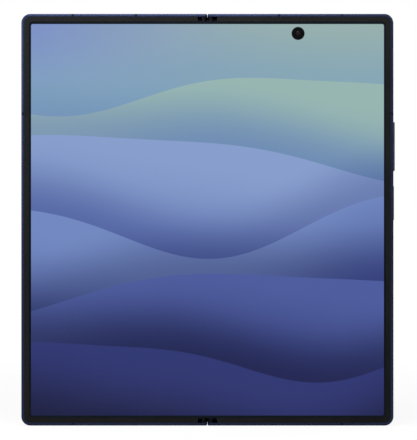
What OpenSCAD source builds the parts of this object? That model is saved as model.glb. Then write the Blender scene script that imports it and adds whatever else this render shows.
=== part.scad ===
// Foldable smartphone, opened flat and standing on its bottom edge, in millimetres.
//
// Two thin halves turn about two parallel axes that lie in a narrow hinge spine. Arc-shaped rails on
// each half run in slots in the spine, concentric with the half's axis, and a train of small gears at
// each end of the spine keeps the two halves turning together.
//
// Every piece is drawn in a flat frame: x across the phone with the fold at 0, y up the phone from
// its bottom edge, z from the back faces (0) to the front. upright() then stands it up, so that X
// points right, Z up and the display faces -Y. Left-hand pieces are drawn on the right and mirrored.

/* [Body] */
// Width of the open phone
open_w = 143.2; // [138:0.1:156]
// Height of the phone
body_h = 158.4; // [150:0.1:172]
// Wall of the metal rim, seen from the front
rim_w = 1.1; // [0.9:0.05:1.3]
// Radius of the four outer corners
corner_r = 3.5; // [3:0.1:6]
// Rounding of the rim's front and back edges
edge_r = 0.6; // [0.2:0.05:0.8]
// Gap between the two halves at the fold
fold_gap = 0.1; // [0.1:0.02:0.3]
// Rounding of the rim's ends at the fold, seen from the front
notch_r = 0.6; // [0.4:0.05:1]

/* [Stack from back to front] */
// Thickness of the back glasses
glass_t = 0.5; // [0.4:0.05:0.6]
// Clear depth between a back glass and the mid-plate
cavity_d = 2.5; // [2.5:0.05:3.4]
// Thickness of the mid-plate
plate_t = 0.35; // [0.3:0.05:0.6]
// Glue line under the inner display
glue_t = 0.05; // [0.02:0.01:0.1]
// Thickness of the inner display
display_t = 0.55; // [0.4:0.05:0.8]
// Gap over the display, under the trim's lip
lip_gap = 0.05; // [0.03:0.01:0.1]
// Thickness of the trim's lip
lip_t = 0.2; // [0.15:0.05:0.4]
// Width of the ledges that carry the back glasses
ledge_w = 0.8; // [0.5:0.05:0.8]
// Thickness of those ledges
ledge_t = 0.4; // [0.3:0.05:0.4]

/* [Inner display] */
// From the outer edge to the inner edge of the trim
trim_in = 3; // [2.8:0.05:3.6]
// How far the trim laps over the display
trim_lap = 0.1; // [0.05:0.05:0.2]
// Corner radius of the trim's window
window_r = 1.1; // [0.6:0.1:2]
// Half width of the dark recess at each end of the fold
recess_x = 3.8; // [3.4:0.1:4.5]
// Half width of the flexible strip at the fold
strip_x = 9.6; // [9.6:0.1:12]
// Slot pitch of the strip's backing lattice, along the fold
lattice_pitch = 7.6; // [6:0.1:12]
// Camera hole: from the outer edge
punch_edge = 36.7; // [32:0.1:40]
// Camera hole: below the top edge
punch_drop = 7.5; // [7:0.1:9]
// Camera hole: diameter
punch_d = 4.7; // [4:0.1:5]

/* [Hinge] */
// Gap between the two trims when the phone is closed
closed_gap = 0.5; // [0.4:0.05:0.8]
// Thickness of the frame's lip behind the spine
back_lip_t = 0.25; // [0.2:0.05:0.3]
// Running gap between the spine and the frames
bay_gap = 0.1; // [0.08:0.01:0.14]
// Wall of the spine cover
cover_t = 0.35; // [0.3:0.05:0.4]
// Bracket metal outside the rail slots
bracket_skin = 0.26; // [0.2:0.02:0.3]
// Thickness of the arc rails
rail_t = 0.7; // [0.5:0.05:0.75]
// Running gap around the arc rails
rail_gap = 0.04; // [0.02:0.01:0.05]
// Length of each arc rail along the fold
rail_w = 5.9; // [4:0.1:6]
// Number of hinge brackets
bracket_n = 3; // [2:1:4]
// Centre of the first bracket from the end of the phone
bracket_inset = 26; // [20:0.5:32]
// Solid end of each bracket
bracket_end = 2.5; // [2.2:0.1:4]
// Radius of the pivot pins
pin_r = 0.45; // [0.35:0.01:0.5]
// Running gap around pins
pin_gap = 0.03; // [0.01:0.01:0.05]
// Thickness of the wing plates under the fold
wing_t = 0.3; // [0.2:0.05:0.3]
// Inner edge of the wing plates from the fold
wing_x0 = 1.7; // [1.6:0.05:2.5]

/* [Hinge gears] */
// Gear module
gear_m = 0.13; // [0.12:0.002:0.132]
// Face width of the gears
gear_w = 0.85; // [0.6:0.05:0.95]
// Share of the tooth thickness left out as backlash
backlash = 0.1; // [0.06:0.01:0.16]

/* [Keys] */
// Volume key: centre below the top edge
volume_drop = 51; // [48:0.1:54]
// Volume key: length
volume_l = 18.9; // [16:0.1:20]
// Volume key: how far it stands out of the rim
volume_out = 0.55; // [0.3:0.05:0.8]
// Space between the two keys
key_space = 5.65; // [3:0.05:9]
// Side key: length
side_l = 13.4; // [10:0.1:15]
// Side key: how far it stands out of the rim
side_out = 0.25; // [0.1:0.05:0.5]
// Height of both keys' section
key_t = 1.9; // [1.5:0.05:1.9]
// Gap around the keys
key_gap = 0.08; // [0.05:0.01:0.12]
// Travel of the side key
key_travel = 0.25; // [0.15:0.01:0.3]

/* [Cameras] */
// Centre of the rear cameras from the outer edge
cam_edge = 13.4; // [13:0.1:14.5]
// Centre of the middle rear camera below the top edge
cam_drop = 35; // [34:0.1:42]
// Spacing of the rear cameras
cam_pitch = 17.3; // [16.5:0.1:18]
// Width of the camera island
island_w = 19.5; // [18:0.1:20.5]
// How far the island stands out of the back
island_out = 1.2; // [0.8:0.1:1.8]
// How far the lens rings stand out of the island
ring_out = 1.2; // [0.6:0.1:1.6]
// Outer radius of the lens rings
ring_r = 7.4; // [6.8:0.1:7.8]
// Radius of the rear lens covers
lens_r = 6; // [5.5:0.1:6.2]
// Radius of the flash lens
flash_r = 2.6; // [2:0.1:2.8]

/* [Ports] */
// Centre of the charging port from the outer edge
port_edge = 35.6; // [34:0.1:38]
// Inside width of the port's shell
port_w = 8.4; // [8.3:0.05:8.6]
// Inside height of the port's shell
port_t = 2.5; // [2.4:0.02:2.5]
// Depth of the port
port_l = 7.4; // [6.5:0.1:8]
// Wall of the port's shell
port_wall = 0.15; // [0.1:0.01:0.15]
// Speaker holes: number
hole_n = 5; // [3:1:6]
// Speaker holes: spacing
hole_pitch = 2.2; // [1.8:0.1:2.4]
// Speaker holes: radius
hole_r = 0.6; // [0.4:0.05:0.7]
// Card tray: centre above the bottom edge
tray_y = 35; // [33:0.5:37]
// Card tray: width of the tray
tray_w = 14.2; // [13.6:0.1:14.6]
// Card tray: length of the tray behind its face
tray_l = 18; // [15:0.5:18]
// Card tray: thickness
tray_t = 0.7; // [0.5:0.05:0.8]

/* [Inside] */
// Thickness of the circuit boards
board_t = 0.6; // [0.4:0.05:0.8]
// Thickness of the battery in the camera half
battery_t = 2.2; // [1.8:0.05:2.3]
// Thickness of the battery in the cover half
thin_battery_t = 1.8; // [1.4:0.05:1.8]
// Thickness of the cover display under its glass
cover_panel_t = 0.6; // [0.4:0.05:0.6]
// Height of the lower battery edge in the camera half
battery_y = 34; // [33:0.5:38]
// Length of the battery in the camera half
battery_l = 57; // [50:0.5:60]
// Space between that battery and the main board
board_space = 7; // [5:0.5:9]
// Width of the plastic antenna breaks in the rim
band_w = 1; // [0.6:0.1:1.6]
// Outer antenna breaks: from the outer edge
band_edge = 19.9; // [19:0.1:21]
// Inner antenna breaks: from the outer ones
band_space = 24.2; // [20:0.1:28]
// Antenna breaks in the long sides: below the top edge
band_drop = 38.4; // [34:0.1:39]

/* [Hidden] */
$fn = 48;

// Colours as the photograph shows them, and plain ones for what lies inside
frame_colour = [0.21, 0.24, 0.38];
band_colour = [0.16, 0.18, 0.30];
trim_colour = [0.12, 0.12, 0.13];
dark_colour = [0.05, 0.05, 0.07];
glass_colour = [0.10, 0.13, 0.26];
metal_colour = [0.62, 0.63, 0.66];
board_colour = [0.08, 0.30, 0.22];
cell_colour = [0.20, 0.20, 0.22];
copper_colour = [0.72, 0.45, 0.25];
screen_colour = [0.42, 0.50, 0.72];
steel_colour = [0.45, 0.46, 0.49];

// Levels from the back
half_w = open_w / 2;
plate_z = glass_t + cavity_d;
plate_top = plate_z + plate_t;
display_z = plate_top + glue_t;
display_top = display_z + display_t;
lip_z = display_top + lip_gap;
body_t = lip_z + lip_t;
fold_face = fold_gap / 2;
face_gap = 0.05;
// How far cutters overshoot, and joined solids run into each other
cut = 1;
lap = 0.1;
// Least radius of a corner inside the rim
least_r = 0.8;

// Hinge: the axes lie where the closed trims leave closed_gap between them
fold_z = plate_z;
fold_x = closed_gap / 2 + body_t - fold_z;
bay_r = fold_z - back_lip_t;
cover_r = bay_r - bay_gap;
cover_in_r = cover_r - cover_t;
bracket_gap = 0.02;
bracket_r = cover_in_r - bracket_gap;
rail_out = cover_in_r - bracket_skin - rail_gap;
rail_in = rail_out - rail_t;
rail_from = 205;
rail_to = 340;
slot_from = 190;
slot_to = 346;
sweep_from = 90;
sweep_to = 213;
cover_drop = 0.5;
cover_top = fold_z - cover_drop;
end_r = fold_x - fold_face;

// Hinge side of the frames
rail_block_x = 5;
block_drop = 0.4;
rail_block_top = fold_z - block_drop;
glass_x = 3.3;
pocket_t = 0.35;
// A bead along each wing plate's outer edge turns in a groove of the web beside the strip
bead_over = 0.02;
bead_r = wing_t / 2 + bead_over;
bead_gap = 0.05;
bead_inset = 0.1;
bead_x = strip_x - bead_inset;
bead_z = plate_top - bead_r;
web_w = 1.1;
web_x = bead_x + web_w;
bay_space = 0.6;
bay_x = web_x + bay_space;
// Feet of the arc rails, their seats and screws
foot_drop = 1;
foot_z = fold_z - foot_drop;
foot_t = 0.4;
foot_inset = 1.5;
foot_x0 = fold_x + foot_inset;
foot_end = 0.3;
foot_x1 = bead_x - foot_end;
foot_side_gap = 0.1;
foot_way_gap = 0.6;
seat_t = 0.7;
foot_screw_in = 1.8;
foot_screw_off = 1.7;
foot_screw_end = 0.05;
foot_head_r = 0.9;
foot_head_t = 0.3;
wing_end_gap = 0.1;

// Brackets stand evenly along the spine, each with a slot for either half
bracket_pitch = (body_h - 2 * bracket_inset) / (bracket_n - 1);
bracket_ys = [for (i = [0 : bracket_n - 1]) bracket_inset + i * bracket_pitch];
rail_end_gap = 0.05;
slot_w = rail_w + 2 * rail_end_gap;
slot_wall = 1;
slot_shift = slot_w / 2 + slot_wall;
bracket_l = 2 * (slot_shift + slot_w / 2 + bracket_end);
fold_room_r = 1.8;
fold_room_rise = 0.7;
fold_room_z = fold_z + fold_room_rise;
screw_r = 0.45;
screw_gap = 0.02;
bracket_screw_drop = 1.5;
bracket_screw_z = fold_z - bracket_screw_drop;
bracket_head_r = 0.8;
bracket_head_gap = 0.05;

// Ends of the spine
spine_end_gap = 0.1;
cover_end = rim_w + spine_end_gap;
cap_gap = 0.2;
cap_y = rim_w + gear_w + cap_gap;
// The display's edge under its trim; the caps end before it
display_in = trim_in - trim_lap / 2;
cap_end = display_in - spine_end_gap;
eye_w = 0.35;
eye_root = 0.2;
idler_pin_r = 0.22;
idler_gap = 0.1;

// Gears: teeth of a full turn of a sector gear, and of an idler
sector_n = 16;
idler_n = 9;
sector_first = -1;
sector_last = 5;
pressure_angle = 20;
flank_steps = 3;
// Tooth heights below and above the pitch circle as shares of the module, and of the root in the hub
dedendum = 1.15;
addendum = 0.85;
root_share = 0.96;
sector_r = gear_m * sector_n / 2;
idler_r = gear_m * idler_n / 2;
mesh_dx = fold_x - idler_r;
idler_x = idler_r;
idler_z = fold_z - sqrt(pow(sector_r + idler_r, 2) - pow(mesh_dx, 2));
mesh_angle = -atan2(fold_z - idler_z, mesh_dx);

// Strip of the display that bends: rows of slots in its back
lattice_rows = 7;
lattice_row_pitch = 0.9;
lattice_slot_w = 0.3;
lattice_depth = 0.15;
lattice_share = 0.8;

// Bosses and board screws
boss_r = 1.4;
bore_end = 0.1;
head_r = 1.1;
head_t = 0.35;
screw_end = 0.2;
screw_inset = 3;
board_z = glass_t + cover_panel_t + 2 * face_gap + head_t;
board_r = 1;
cell_r = 1.5;

// Keys: a wall inside the rim carries their switches
key_room = 1.4;
key_wall_t = 0.5;
key_wall_x = half_w - rim_w - key_room;
key_z = (glass_t + ledge_t + plate_z) / 2;
key_step = 0.15;
flange_t = 0.45;
flange_over = 0.5;
flange_rise = 0.05;
volume_slack = 0.2;
switch_t = 0.15;
switch_w = 1.8;
switch_x = key_wall_x + switch_t;
dome_r = 0.85;
dome_tip_r = 0.5;
dome_share = 0.34;
rib_r = 0.3;
volume_y = body_h - volume_drop;
side_y = volume_y - (volume_l + side_l) / 2 - key_space;

// Rear cameras, from the top: ultrawide, wide, tele
cam_x = half_w - cam_edge;
cam_y = body_h - cam_drop;
cam_ys = [cam_y + cam_pitch, cam_y, cam_y - cam_pitch];
cam_base = 13.2;
cam_base_r = 1;
barrel_gaps = [0.8, 0.6, 0.9];
barrel_rise = 0.3;
barrel_lip = 0.8;
stop_rs = [1.6, 2.2, 1.4];
stop_depths = [1.2, 1.5, 1.8];
island_h = island_w + 2 * cam_pitch;
island_flange = 0.8;
island_step = 0.3;
spigot_w = 0.4;
spigot_l = 1;
ring_seat = 0.5;
ring_step = 0.3;
ring_back = 0.4;
lens_sunk = 0.2;
flash_space = 0.8;
flash_drop = 3;
flash_flange = 0.5;
flash_back_gap = 0.3;
flash_x = cam_x - island_w / 2 - island_flange - flash_r - flash_space;
flash_y = cam_y + cam_pitch - flash_drop;

// Cameras behind the inner and the cover display
punch_x = half_w - punch_edge;
punch_y = body_h - punch_drop;
punch_clear = 0.2;
punch_room = 4.2;
small_cam_w = 7.6;
small_cam_r = 0.8;
cone_depth = 0.5;
cone_stop_r = 0.6;
cone_mouth_r = 1;
cover_cam_x = (glass_x + half_w - rim_w) / 2;
cover_cam_drop = 8;
cover_cam_y = body_h - cover_cam_drop;
cover_cam_r = 1.9;
cover_cam_back = 0.3;
cover_cone_r = 1.6;

// Charging port, microphones and speakers
port_x = half_w - port_edge;
port_z = glass_t + face_gap + port_wall + port_t / 2;
port_front = 0.3;
port_end_t = 0.6;
port_end_gap = 0.3;
tongue_w = 6.7;
tongue_t = 0.7;
tongue_y = 0.9;
contact_n = 12;
contact_pitch = 0.5;
contact_w = 0.24;
contact_l = 2.8;
contact_y = 1.2;
contact_proud = 0.03;
contact_sunk = 0.01;
mic_space = 9;
hole_edge = 15.6;
hole_x = half_w - hole_edge;
hole_z = 1.95;
mesh_over = 1.2;
mesh_t = 0.2;
speaker_side = 6;
speaker_edge = 3.4;
speaker_gap = 0.3;
speaker_top = 22;
speaker_r = 1.2;
dish_in = 2;
dish_end = 3;
dish_depth = 0.3;
dish_r = 1;
top_speaker_drop = 12.5;
motor_space = 2;
motor_l = 11;
motor_r = 2;
motor_gap = 0.3;

// Card tray and its reader
tray_z = 2;
tray_face_over = 0.7;
tray_face_rise = 0.4;
tray_face_w = tray_w + 2 * tray_face_over;
tray_face_t = tray_t + 2 * tray_face_rise;
tray_gap = 0.05;
tray_end = 2;
tray_root = 3.2;
card_w = 9.2;
eject_in = 1.6;
eject_r = 0.4;
reader_end = 1.5;
reader_wall = 0.5;

// Antenna breaks
band_top_xs = [half_w - band_edge - band_space, half_w - band_edge];
band_bottom_xs = [half_w - band_edge];
band_side_y = body_h - band_drop;

// Boards, battery and coil of the camera half
flash_room = 7.4;
board_end_gap = 1.4;
board_top = body_h - rim_w - board_end_gap;
main_board_x1 = cam_x - island_w / 2 - flash_room;
main_board_y0 = battery_y + battery_l + board_space;
high_screw_y = 2;
main_board_screws = [
    [bay_x + screw_inset, main_board_y0 + screw_inset],
    [main_board_x1 - screw_inset, main_board_y0 + screw_inset],
    [bay_x + screw_inset, board_top - screw_inset],
    [main_board_x1 - screw_inset, cam_y + high_screw_y]
];
sub_board_edge = 27;
sub_board_gap = 0.6;
battery_gap = 2;
sub_board_x1 = half_w - sub_board_edge;
sub_board_y0 = port_l + sub_board_gap;
sub_board_y1 = battery_y - battery_gap;
sub_board_screws = [
    [bay_x + screw_inset, sub_board_y0 + screw_inset],
    [bay_x + screw_inset, sub_board_y1 - screw_inset],
    [sub_board_x1 - screw_inset, sub_board_y1 - screw_inset]
];
right_screw_places = concat(main_board_screws, sub_board_screws);
can_top_gap = 0.15;
can_inset = 1;
can_screw_room = 5.5;
can_y = 2;
can_space = 1.5;
can_low = 8;
can_high = 6;
can_end = 6;
sub_can_in = 6;
sub_can_end = 7;
battery_side = 2.6;
battery_x1 = key_wall_x - battery_side;
coil_r = 9;
coil_w = 17;
coil_turns = 7;
turn_r = 11;
turn_pitch = 1.9;
turn_w = 1.3;
turn_t = 0.16;
magnet_t = 1.5;
magnet_l = 12;
magnet_gap = 0.1;
magnet_y = 8;
magnet_drop = 26;
magnet_ys = [magnet_y, body_h - magnet_drop];

// Panel, boards and battery of the cover half; a board is [x0, x1, y0, y1]
cover_panel_z1 = glass_t + cover_panel_t;
panel_inset = 1;
panel_x0 = glass_x + panel_inset;
upper_board_edge = 6;
upper_board_low = 28;
upper_board_high = 13.5;
upper_board = [bay_x, half_w - upper_board_edge, body_h - upper_board_low, body_h - upper_board_high];
lower_board_edge = 26;
lower_board_y = 8;
lower_board_over = 9;
lower_board = [bay_x, half_w - lower_board_edge, lower_board_y, tray_y + lower_board_over];
upper_board_screws = [
    [upper_board[0] + screw_inset, upper_board[2] + screw_inset],
    [upper_board[1] - screw_inset, upper_board[2] + screw_inset]
];
lower_board_screws = [
    [lower_board[0] + screw_inset, lower_board[2] + screw_inset],
    [lower_board[1] - screw_inset, lower_board[2] + screw_inset],
    [lower_board[0] + screw_inset, lower_board[3] - screw_inset]
];
left_screw_places = concat(upper_board_screws, lower_board_screws);
thin_battery_space = 12;
thin_battery_drop = 30;
thin_battery_edge = 8;
thin_battery_y0 = tray_y + thin_battery_space;
thin_battery_y1 = body_h - thin_battery_drop;

// ---- Frames of reference and shared outlines ----

module upright() {
    rotate([90, 0, 0]) children();
}

module mirrored() {
    mirror([1, 0, 0]) children();
}

// Extrudes an x-z outline along the phone's height, from y0 to y1
module along_fold(y0, y1) {
    translate([0, y1, 0]) rotate([90, 0, 0]) linear_extrude(y1 - y0) children();
}

// Extrudes a y-z outline across the phone, from x0 to x1
module across(x0, x1) {
    translate([x0, 0, 0]) rotate([90, 0, 90]) linear_extrude(x1 - x0) children();
}

module layer(z0, z1) {
    translate([0, 0, z0]) linear_extrude(z1 - z0) children();
}

module box(x0, x1, y0, y1, z0, z1) {
    translate([x0, y0, z0]) cube([x1 - x0, y1 - y0, z1 - z0]);
}

// Rectangle with round corners, from its lower left corner
module round_rect(w, h, r) {
    translate([r, 0]) square([w - 2 * r, h]);
    translate([0, r]) square([w, h - 2 * r]);
    for (x = [r, w - r], y = [r, h - r]) translate([x, y]) circle(r);
}

module round_box(x0, x1, y0, y1, z0, z1, r) {
    layer(z0, z1) translate([x0, y0]) round_rect(x1 - x0, y1 - y0, r);
}

// Slot with round ends, centred, long way along x
module slot_outline(w, h) {
    square([w - h, h], center = true);
    for (s = [-1, 1]) translate([s * (w - h) / 2, 0]) circle(h / 2);
}

// Half's outline, inset from the phone's edge, from x_in to the outer side
module half_plan(inset, r, x_in) {
    x1 = half_w - inset;
    y0 = inset;
    y1 = body_h - inset;
    translate([x_in, y0]) square([x1 - r - x_in, y1 - y0]);
    translate([x_in, y0 + r]) square([x1 - x_in, y1 - y0 - 2 * r]);
    for (y = [y0 + r, y1 - r]) translate([x1 - r, y]) circle(r);
}

module u_ring(inset0, r0, inset1, r1, x_in) {
    difference() {
        half_plan(inset0, r0, x_in);
        half_plan(inset1, r1, x_in - cut);
    }
}

function inner_r(inset) = max(corner_r - inset, least_r);

// ---- The frame of one half ----

// Section of the rim: u runs inwards from the outer face
module rim_section() {
    translate([edge_r, 0]) square([rim_w - edge_r, body_t]);
    translate([0, edge_r]) square([rim_w, body_t - 2 * edge_r]);
    for (z = [edge_r, body_t - edge_r]) translate([edge_r, z]) circle(edge_r);
}

module rim_section_clipped() {
    intersection() {
        rim_section();
        square([rim_w, body_t]);
    }
}

module rim_end_run() {
    across(fold_face, half_w - corner_r) rim_section_clipped();
}

module rim_corner() {
    translate([half_w - corner_r, corner_r, 0])
        rotate([0, 0, -90]) rotate_extrude(angle = 90)
            translate([corner_r, 0]) mirror([1, 0]) rim_section_clipped();
}

module rim() {
    for (top = [0, 1]) translate([0, top * body_h, 0]) mirror([0, top, 0]) {
        rim_end_run();
        rim_corner();
    }
    translate([half_w, body_h - corner_r, 0]) rotate([90, 0, 0]) mirror([1, 0, 0])
        linear_extrude(body_h - 2 * corner_r) rim_section_clipped();
}

// Section of the frame along the fold: a bay concentric with the half's axis, over a thin lip
module fold_side_section() {
    difference() {
        translate([fold_face, 0]) square([rail_block_x - fold_face, rail_block_top]);
        translate([fold_x, fold_z]) circle(bay_r);
        translate([fold_face - cut, back_lip_t]) square([fold_x - fold_face + cut, body_t]);
        translate([glass_x, -cut]) square([rail_block_x, glass_t + cut]);
    }
    translate([rail_block_x - lap, rail_block_top - pocket_t])
        square([web_x - rail_block_x + lap, pocket_t]);
    difference() {
        translate([bead_x - lap, rail_block_top - pocket_t])
            square([web_x - bead_x + lap, plate_top - rail_block_top + pocket_t]);
        translate([bead_x, bead_z]) circle(bead_r + bead_gap);
        translate([bead_x - cut, plate_z - lap]) square([cut, body_t]);
    }
}

module mid_plate() {
    layer(plate_z, plate_top) half_plan(rim_w, inner_r(rim_w), web_x - lap);
    layer(plate_z, display_z)
        u_ring(rim_w, inner_r(rim_w), trim_in - trim_lap, window_r, recess_x);
}

module glass_ledge() {
    layer(glass_t, glass_t + ledge_t)
        u_ring(rim_w, inner_r(rim_w), rim_w + ledge_w, inner_r(rim_w + ledge_w), glass_x);
}

// Foot of an arc rail: its seat is under it, and its way through the fold side over it
module foot_seat(y) {
    box(rail_block_x - lap, bead_x - lap, y - slot_w / 2 - foot_side_gap,
        y + slot_w / 2 + foot_side_gap, foot_z - seat_t, foot_z);
}

module foot_way(y) {
    box(foot_x0 - foot_way_gap, foot_x1 + foot_side_gap, y - slot_w / 2, y + slot_w / 2,
        foot_z, rail_block_top + cut);
}

module foot_screw_places(y) {
    for (s = [-1, 1]) translate([foot_x1 - foot_screw_in, y + s * foot_screw_off, 0]) children();
}

// Rounds the rim's ends at the fold, seen from the front and from the phone's end
module fold_end_cuts() {
    along_fold(-cut, body_h + cut) difference() {
        translate([-cut, fold_z]) square([fold_x + cut, body_t]);
        translate([fold_x, fold_z]) circle(end_r);
        translate([fold_x, 0]) square([cut, body_t]);
    }
    for (top = [0, 1]) translate([fold_face, top * body_h, -cut]) mirror([0, top, 0])
        linear_extrude(body_t + 2 * cut) difference() {
            translate([-cut, -cut]) square([notch_r + cut, notch_r + cut]);
            translate([notch_r, notch_r]) circle(notch_r);
        }
}

// Boxes through the rim where plastic breaks the metal for the antennas
module band_boxes() {
    half = band_w / 2;
    for (x = band_top_xs) box(x - half, x + half, body_h - rim_w, body_h + cut, -cut, body_t + cut);
    for (x = band_bottom_xs) box(x - half, x + half, -cut, rim_w, -cut, body_t + cut);
    box(half_w - rim_w, half_w + cut, band_side_y - half, band_side_y + half, -cut, body_t + cut);
}

module antenna_bands() {
    intersection() {
        rim();
        band_boxes();
    }
}

// side is 1 in the right half and -1 in the left one: their rails lie side by side
module half_frame(side) {
    difference() {
        union() {
            rim();
            along_fold(rim_w - lap, body_h - rim_w + lap) fold_side_section();
            mid_plate();
            glass_ledge();
            for (y = bracket_ys) foot_seat(y + side * slot_shift);
        }
        fold_end_cuts();
        band_boxes();
        for (y = bracket_ys) {
            foot_way(y + side * slot_shift);
            foot_screw_places(y + side * slot_shift) translate([0, 0, foot_z - seat_t - cut])
                cylinder(r = screw_r + screw_gap, h = seat_t + 2 * cut);
        }
    }
}

module bosses(places) {
    for (p = places) translate([p[0], p[1], board_z + board_t])
        cylinder(r = boss_r, h = plate_z - board_z - board_t);
}

module boss_bores(places) {
    for (p = places) translate([p[0], p[1], board_z + board_t - cut])
        cylinder(r = screw_r + screw_gap, h = plate_z - board_z - board_t + cut - bore_end);
}

module board_screws(places) {
    for (p = places) translate([p[0], p[1], board_z]) {
        cylinder(r = screw_r, h = plate_z - board_z - screw_end);
        difference() {
            translate([0, 0, -head_t]) cylinder(r = head_r, h = head_t);
            translate([0, 0, -head_t - cut]) cylinder(r = head_r / 2, h = cut + head_t / 2, $fn = 6);
        }
    }
}

// ---- Display ----

module display_trim() {
    difference() {
        layer(display_z, body_t)
            u_ring(rim_w + bracket_gap, inner_r(rim_w), trim_in, window_r, recess_x);
        layer(display_z - cut, lip_z)
            half_plan(trim_in - trim_lap, window_r, recess_x - cut);
    }
}

module panel_plan(x_in) {
    half_plan(display_in, window_r, x_in);
}

module display_panel() {
    layer(display_z, display_top) panel_plan(strip_x + face_gap / 2);
}

module display_fold_strip() {
    color(screen_colour) upright() difference() {
        box(-strip_x + face_gap / 2, strip_x - face_gap / 2, display_in, body_h - display_in,
            display_z, display_top);
        fold_lattice();
    }
}

// Rows of slots in the back of the strip let it bend, staggered row by row
module fold_lattice() {
    slots = floor((body_h - 2 * display_in) / lattice_pitch) - 1;
    half_l = lattice_share * lattice_pitch / 2;
    half_slot = lattice_slot_w / 2;
    for (i = [0 : lattice_rows - 1], k = [0 : slots - 1]) {
        x = (i - (lattice_rows - 1) / 2) * lattice_row_pitch;
        y = body_h / 2 + (k - (slots - 1) / 2) * lattice_pitch + (i % 2) * lattice_pitch / 2;
        box(x - half_slot, x + half_slot, y - half_l, y + half_l, display_z - cut, display_z + lattice_depth);
    }
}

// ---- Hinge ----

// Outline round both axes, open at the top
module spine_outline(r, top) {
    intersection() {
        union() {
            for (s = [-1, 1]) translate([s * fold_x, fold_z]) circle(r);
            translate([-fold_x, fold_z - r]) square([2 * fold_x, 2 * r]);
        }
        translate([-fold_x - r, fold_z - r - cut]) square([2 * (fold_x + r), top - fold_z + r + cut]);
    }
}

// Wedge round the right-hand axis, from angle a0 to a1 measured as seen from the bottom end and
// mirrored, so that 180 points away from the fold
module wedge(r, a0, a1) {
    steps = 4;
    translate([fold_x, fold_z]) mirror([1, 0]) polygon(concat([[0, 0]],
        [for (i = [0 : steps]) let (a = a0 + (a1 - a0) * i / steps) [2 * r * cos(a), 2 * r * sin(a)]]));
}

module arc(r0, r1, a0, a1) {
    intersection() {
        translate([fold_x, fold_z]) difference() {
            circle(r1);
            circle(r0);
        }
        wedge(r1, a0, a1);
    }
}

// What a right-hand rail and its foot sweep as the half turns
module rail_sweep() {
    arc(rail_in - rail_gap, rail_out + rail_gap, slot_from, slot_to);
    arc(rail_in - rail_gap, 2 * cover_r, sweep_from, sweep_to);
}

module for_each_slot() {
    for (y = bracket_ys) {
        translate([0, y + slot_shift, 0]) children();
        translate([0, y - slot_shift, 0]) mirrored() children();
    }
}

module hinge_cover() {
    color(frame_colour) upright() difference() {
        along_fold(cover_end, body_h - cover_end) difference() {
            spine_outline(cover_r, cover_top);
            spine_outline(cover_in_r, body_t);
        }
        for_each_slot() along_fold(-slot_w / 2 - foot_side_gap, slot_w / 2 + foot_side_gap)
            arc(rail_out + rail_gap, 2 * cover_r, sweep_from, sweep_to);
    }
}

module hinge_brackets() {
    color(steel_colour) upright() difference() {
        for (y = bracket_ys) along_fold(y - bracket_l / 2, y + bracket_l / 2) difference() {
            spine_outline(bracket_r, cover_top);
            translate([0, fold_room_z]) circle(fold_room_r);
        }
        for_each_slot() along_fold(-slot_w / 2, slot_w / 2) rail_sweep();
        for_each_bracket_screw() {
            translate([0, 0, -cut]) cylinder(r = screw_r + screw_gap, h = fold_z);
            translate([0, 0, bracket_screw_z]) cylinder(r = bracket_head_r + bracket_head_gap, h = fold_z);
        }
    }
}

module for_each_bracket_screw() {
    for (y = bracket_ys, s = [-1, 1]) translate([0, y + s * (bracket_l - bracket_end) / 2, 0]) children();
}

module bracket_screws() {
    floor_z = fold_z - bracket_r;
    color(metal_colour) upright() for_each_bracket_screw() {
        translate([0, 0, floor_z]) cylinder(r = screw_r, h = bracket_screw_z - floor_z);
        translate([0, 0, bracket_screw_z]) cylinder(r = bracket_head_r, h = head_t);
    }
}

// An arc rail with the foot that its half screws down
module hinge_rail() {
    along_fold(-rail_w / 2, rail_w / 2) {
        arc(rail_in, rail_out, rail_from, rail_to);
        translate([foot_x0, foot_z]) square([foot_x1 - foot_x0, foot_t]);
    }
}

module half_rails(side) {
    difference() {
        for (y = bracket_ys) translate([0, y + side * slot_shift, 0]) hinge_rail();
        for (y = bracket_ys) foot_screw_places(y + side * slot_shift)
            translate([0, 0, foot_z - cut]) cylinder(r = screw_r + screw_gap, h = 2 * cut);
    }
}

module half_hinge_screws(side) {
    for (y = bracket_ys) foot_screw_places(y + side * slot_shift) {
        translate([0, 0, foot_z - seat_t + foot_screw_end])
            cylinder(r = screw_r, h = seat_t + foot_t - foot_screw_end);
        translate([0, 0, foot_z + foot_t]) cylinder(r = foot_head_r, h = foot_head_t);
    }
}

module wing_plate() {
    y0 = trim_in + wing_end_gap;
    along_fold(y0, body_h - y0) {
        translate([wing_x0, plate_top - wing_t]) square([bead_x - wing_x0, wing_t]);
        translate([bead_x, bead_z]) circle(bead_r);
    }
}

// Places a thing at the bottom end, and its mirror image at the top end
module at_both_ends() {
    children();
    translate([0, body_h, 0]) mirror([0, 1, 0]) children();
}

module end_cap() {
    eye_r = pin_r + eye_w;
    along_fold(cap_y, cap_end) difference() {
        union() {
            spine_outline(bracket_r, cover_top);
            for (s = [-1, 1]) translate([s * fold_x, fold_z]) {
                circle(eye_r);
                translate([-eye_r, -cover_drop - eye_root]) square([2 * eye_r, cover_drop + eye_root]);
            }
        }
        for (s = [-1, 1]) {
            translate([s * fold_x, fold_z]) circle(pin_r + screw_gap);
            translate([s * idler_x, idler_z]) circle(idler_pin_r + screw_gap);
        }
    }
}

module hinge_end_caps() {
    color(dark_colour) upright() at_both_ends() end_cap();
}

module hinge_pins() {
    color(metal_colour) upright() at_both_ends() for (s = [-1, 1]) {
        along_fold(cover_end, cap_end) translate([s * fold_x, fold_z]) circle(pin_r);
        along_fold(cover_end, cap_end) translate([s * idler_x, idler_z]) circle(idler_pin_r);
    }
}

// ---- Hinge gears ----

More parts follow.
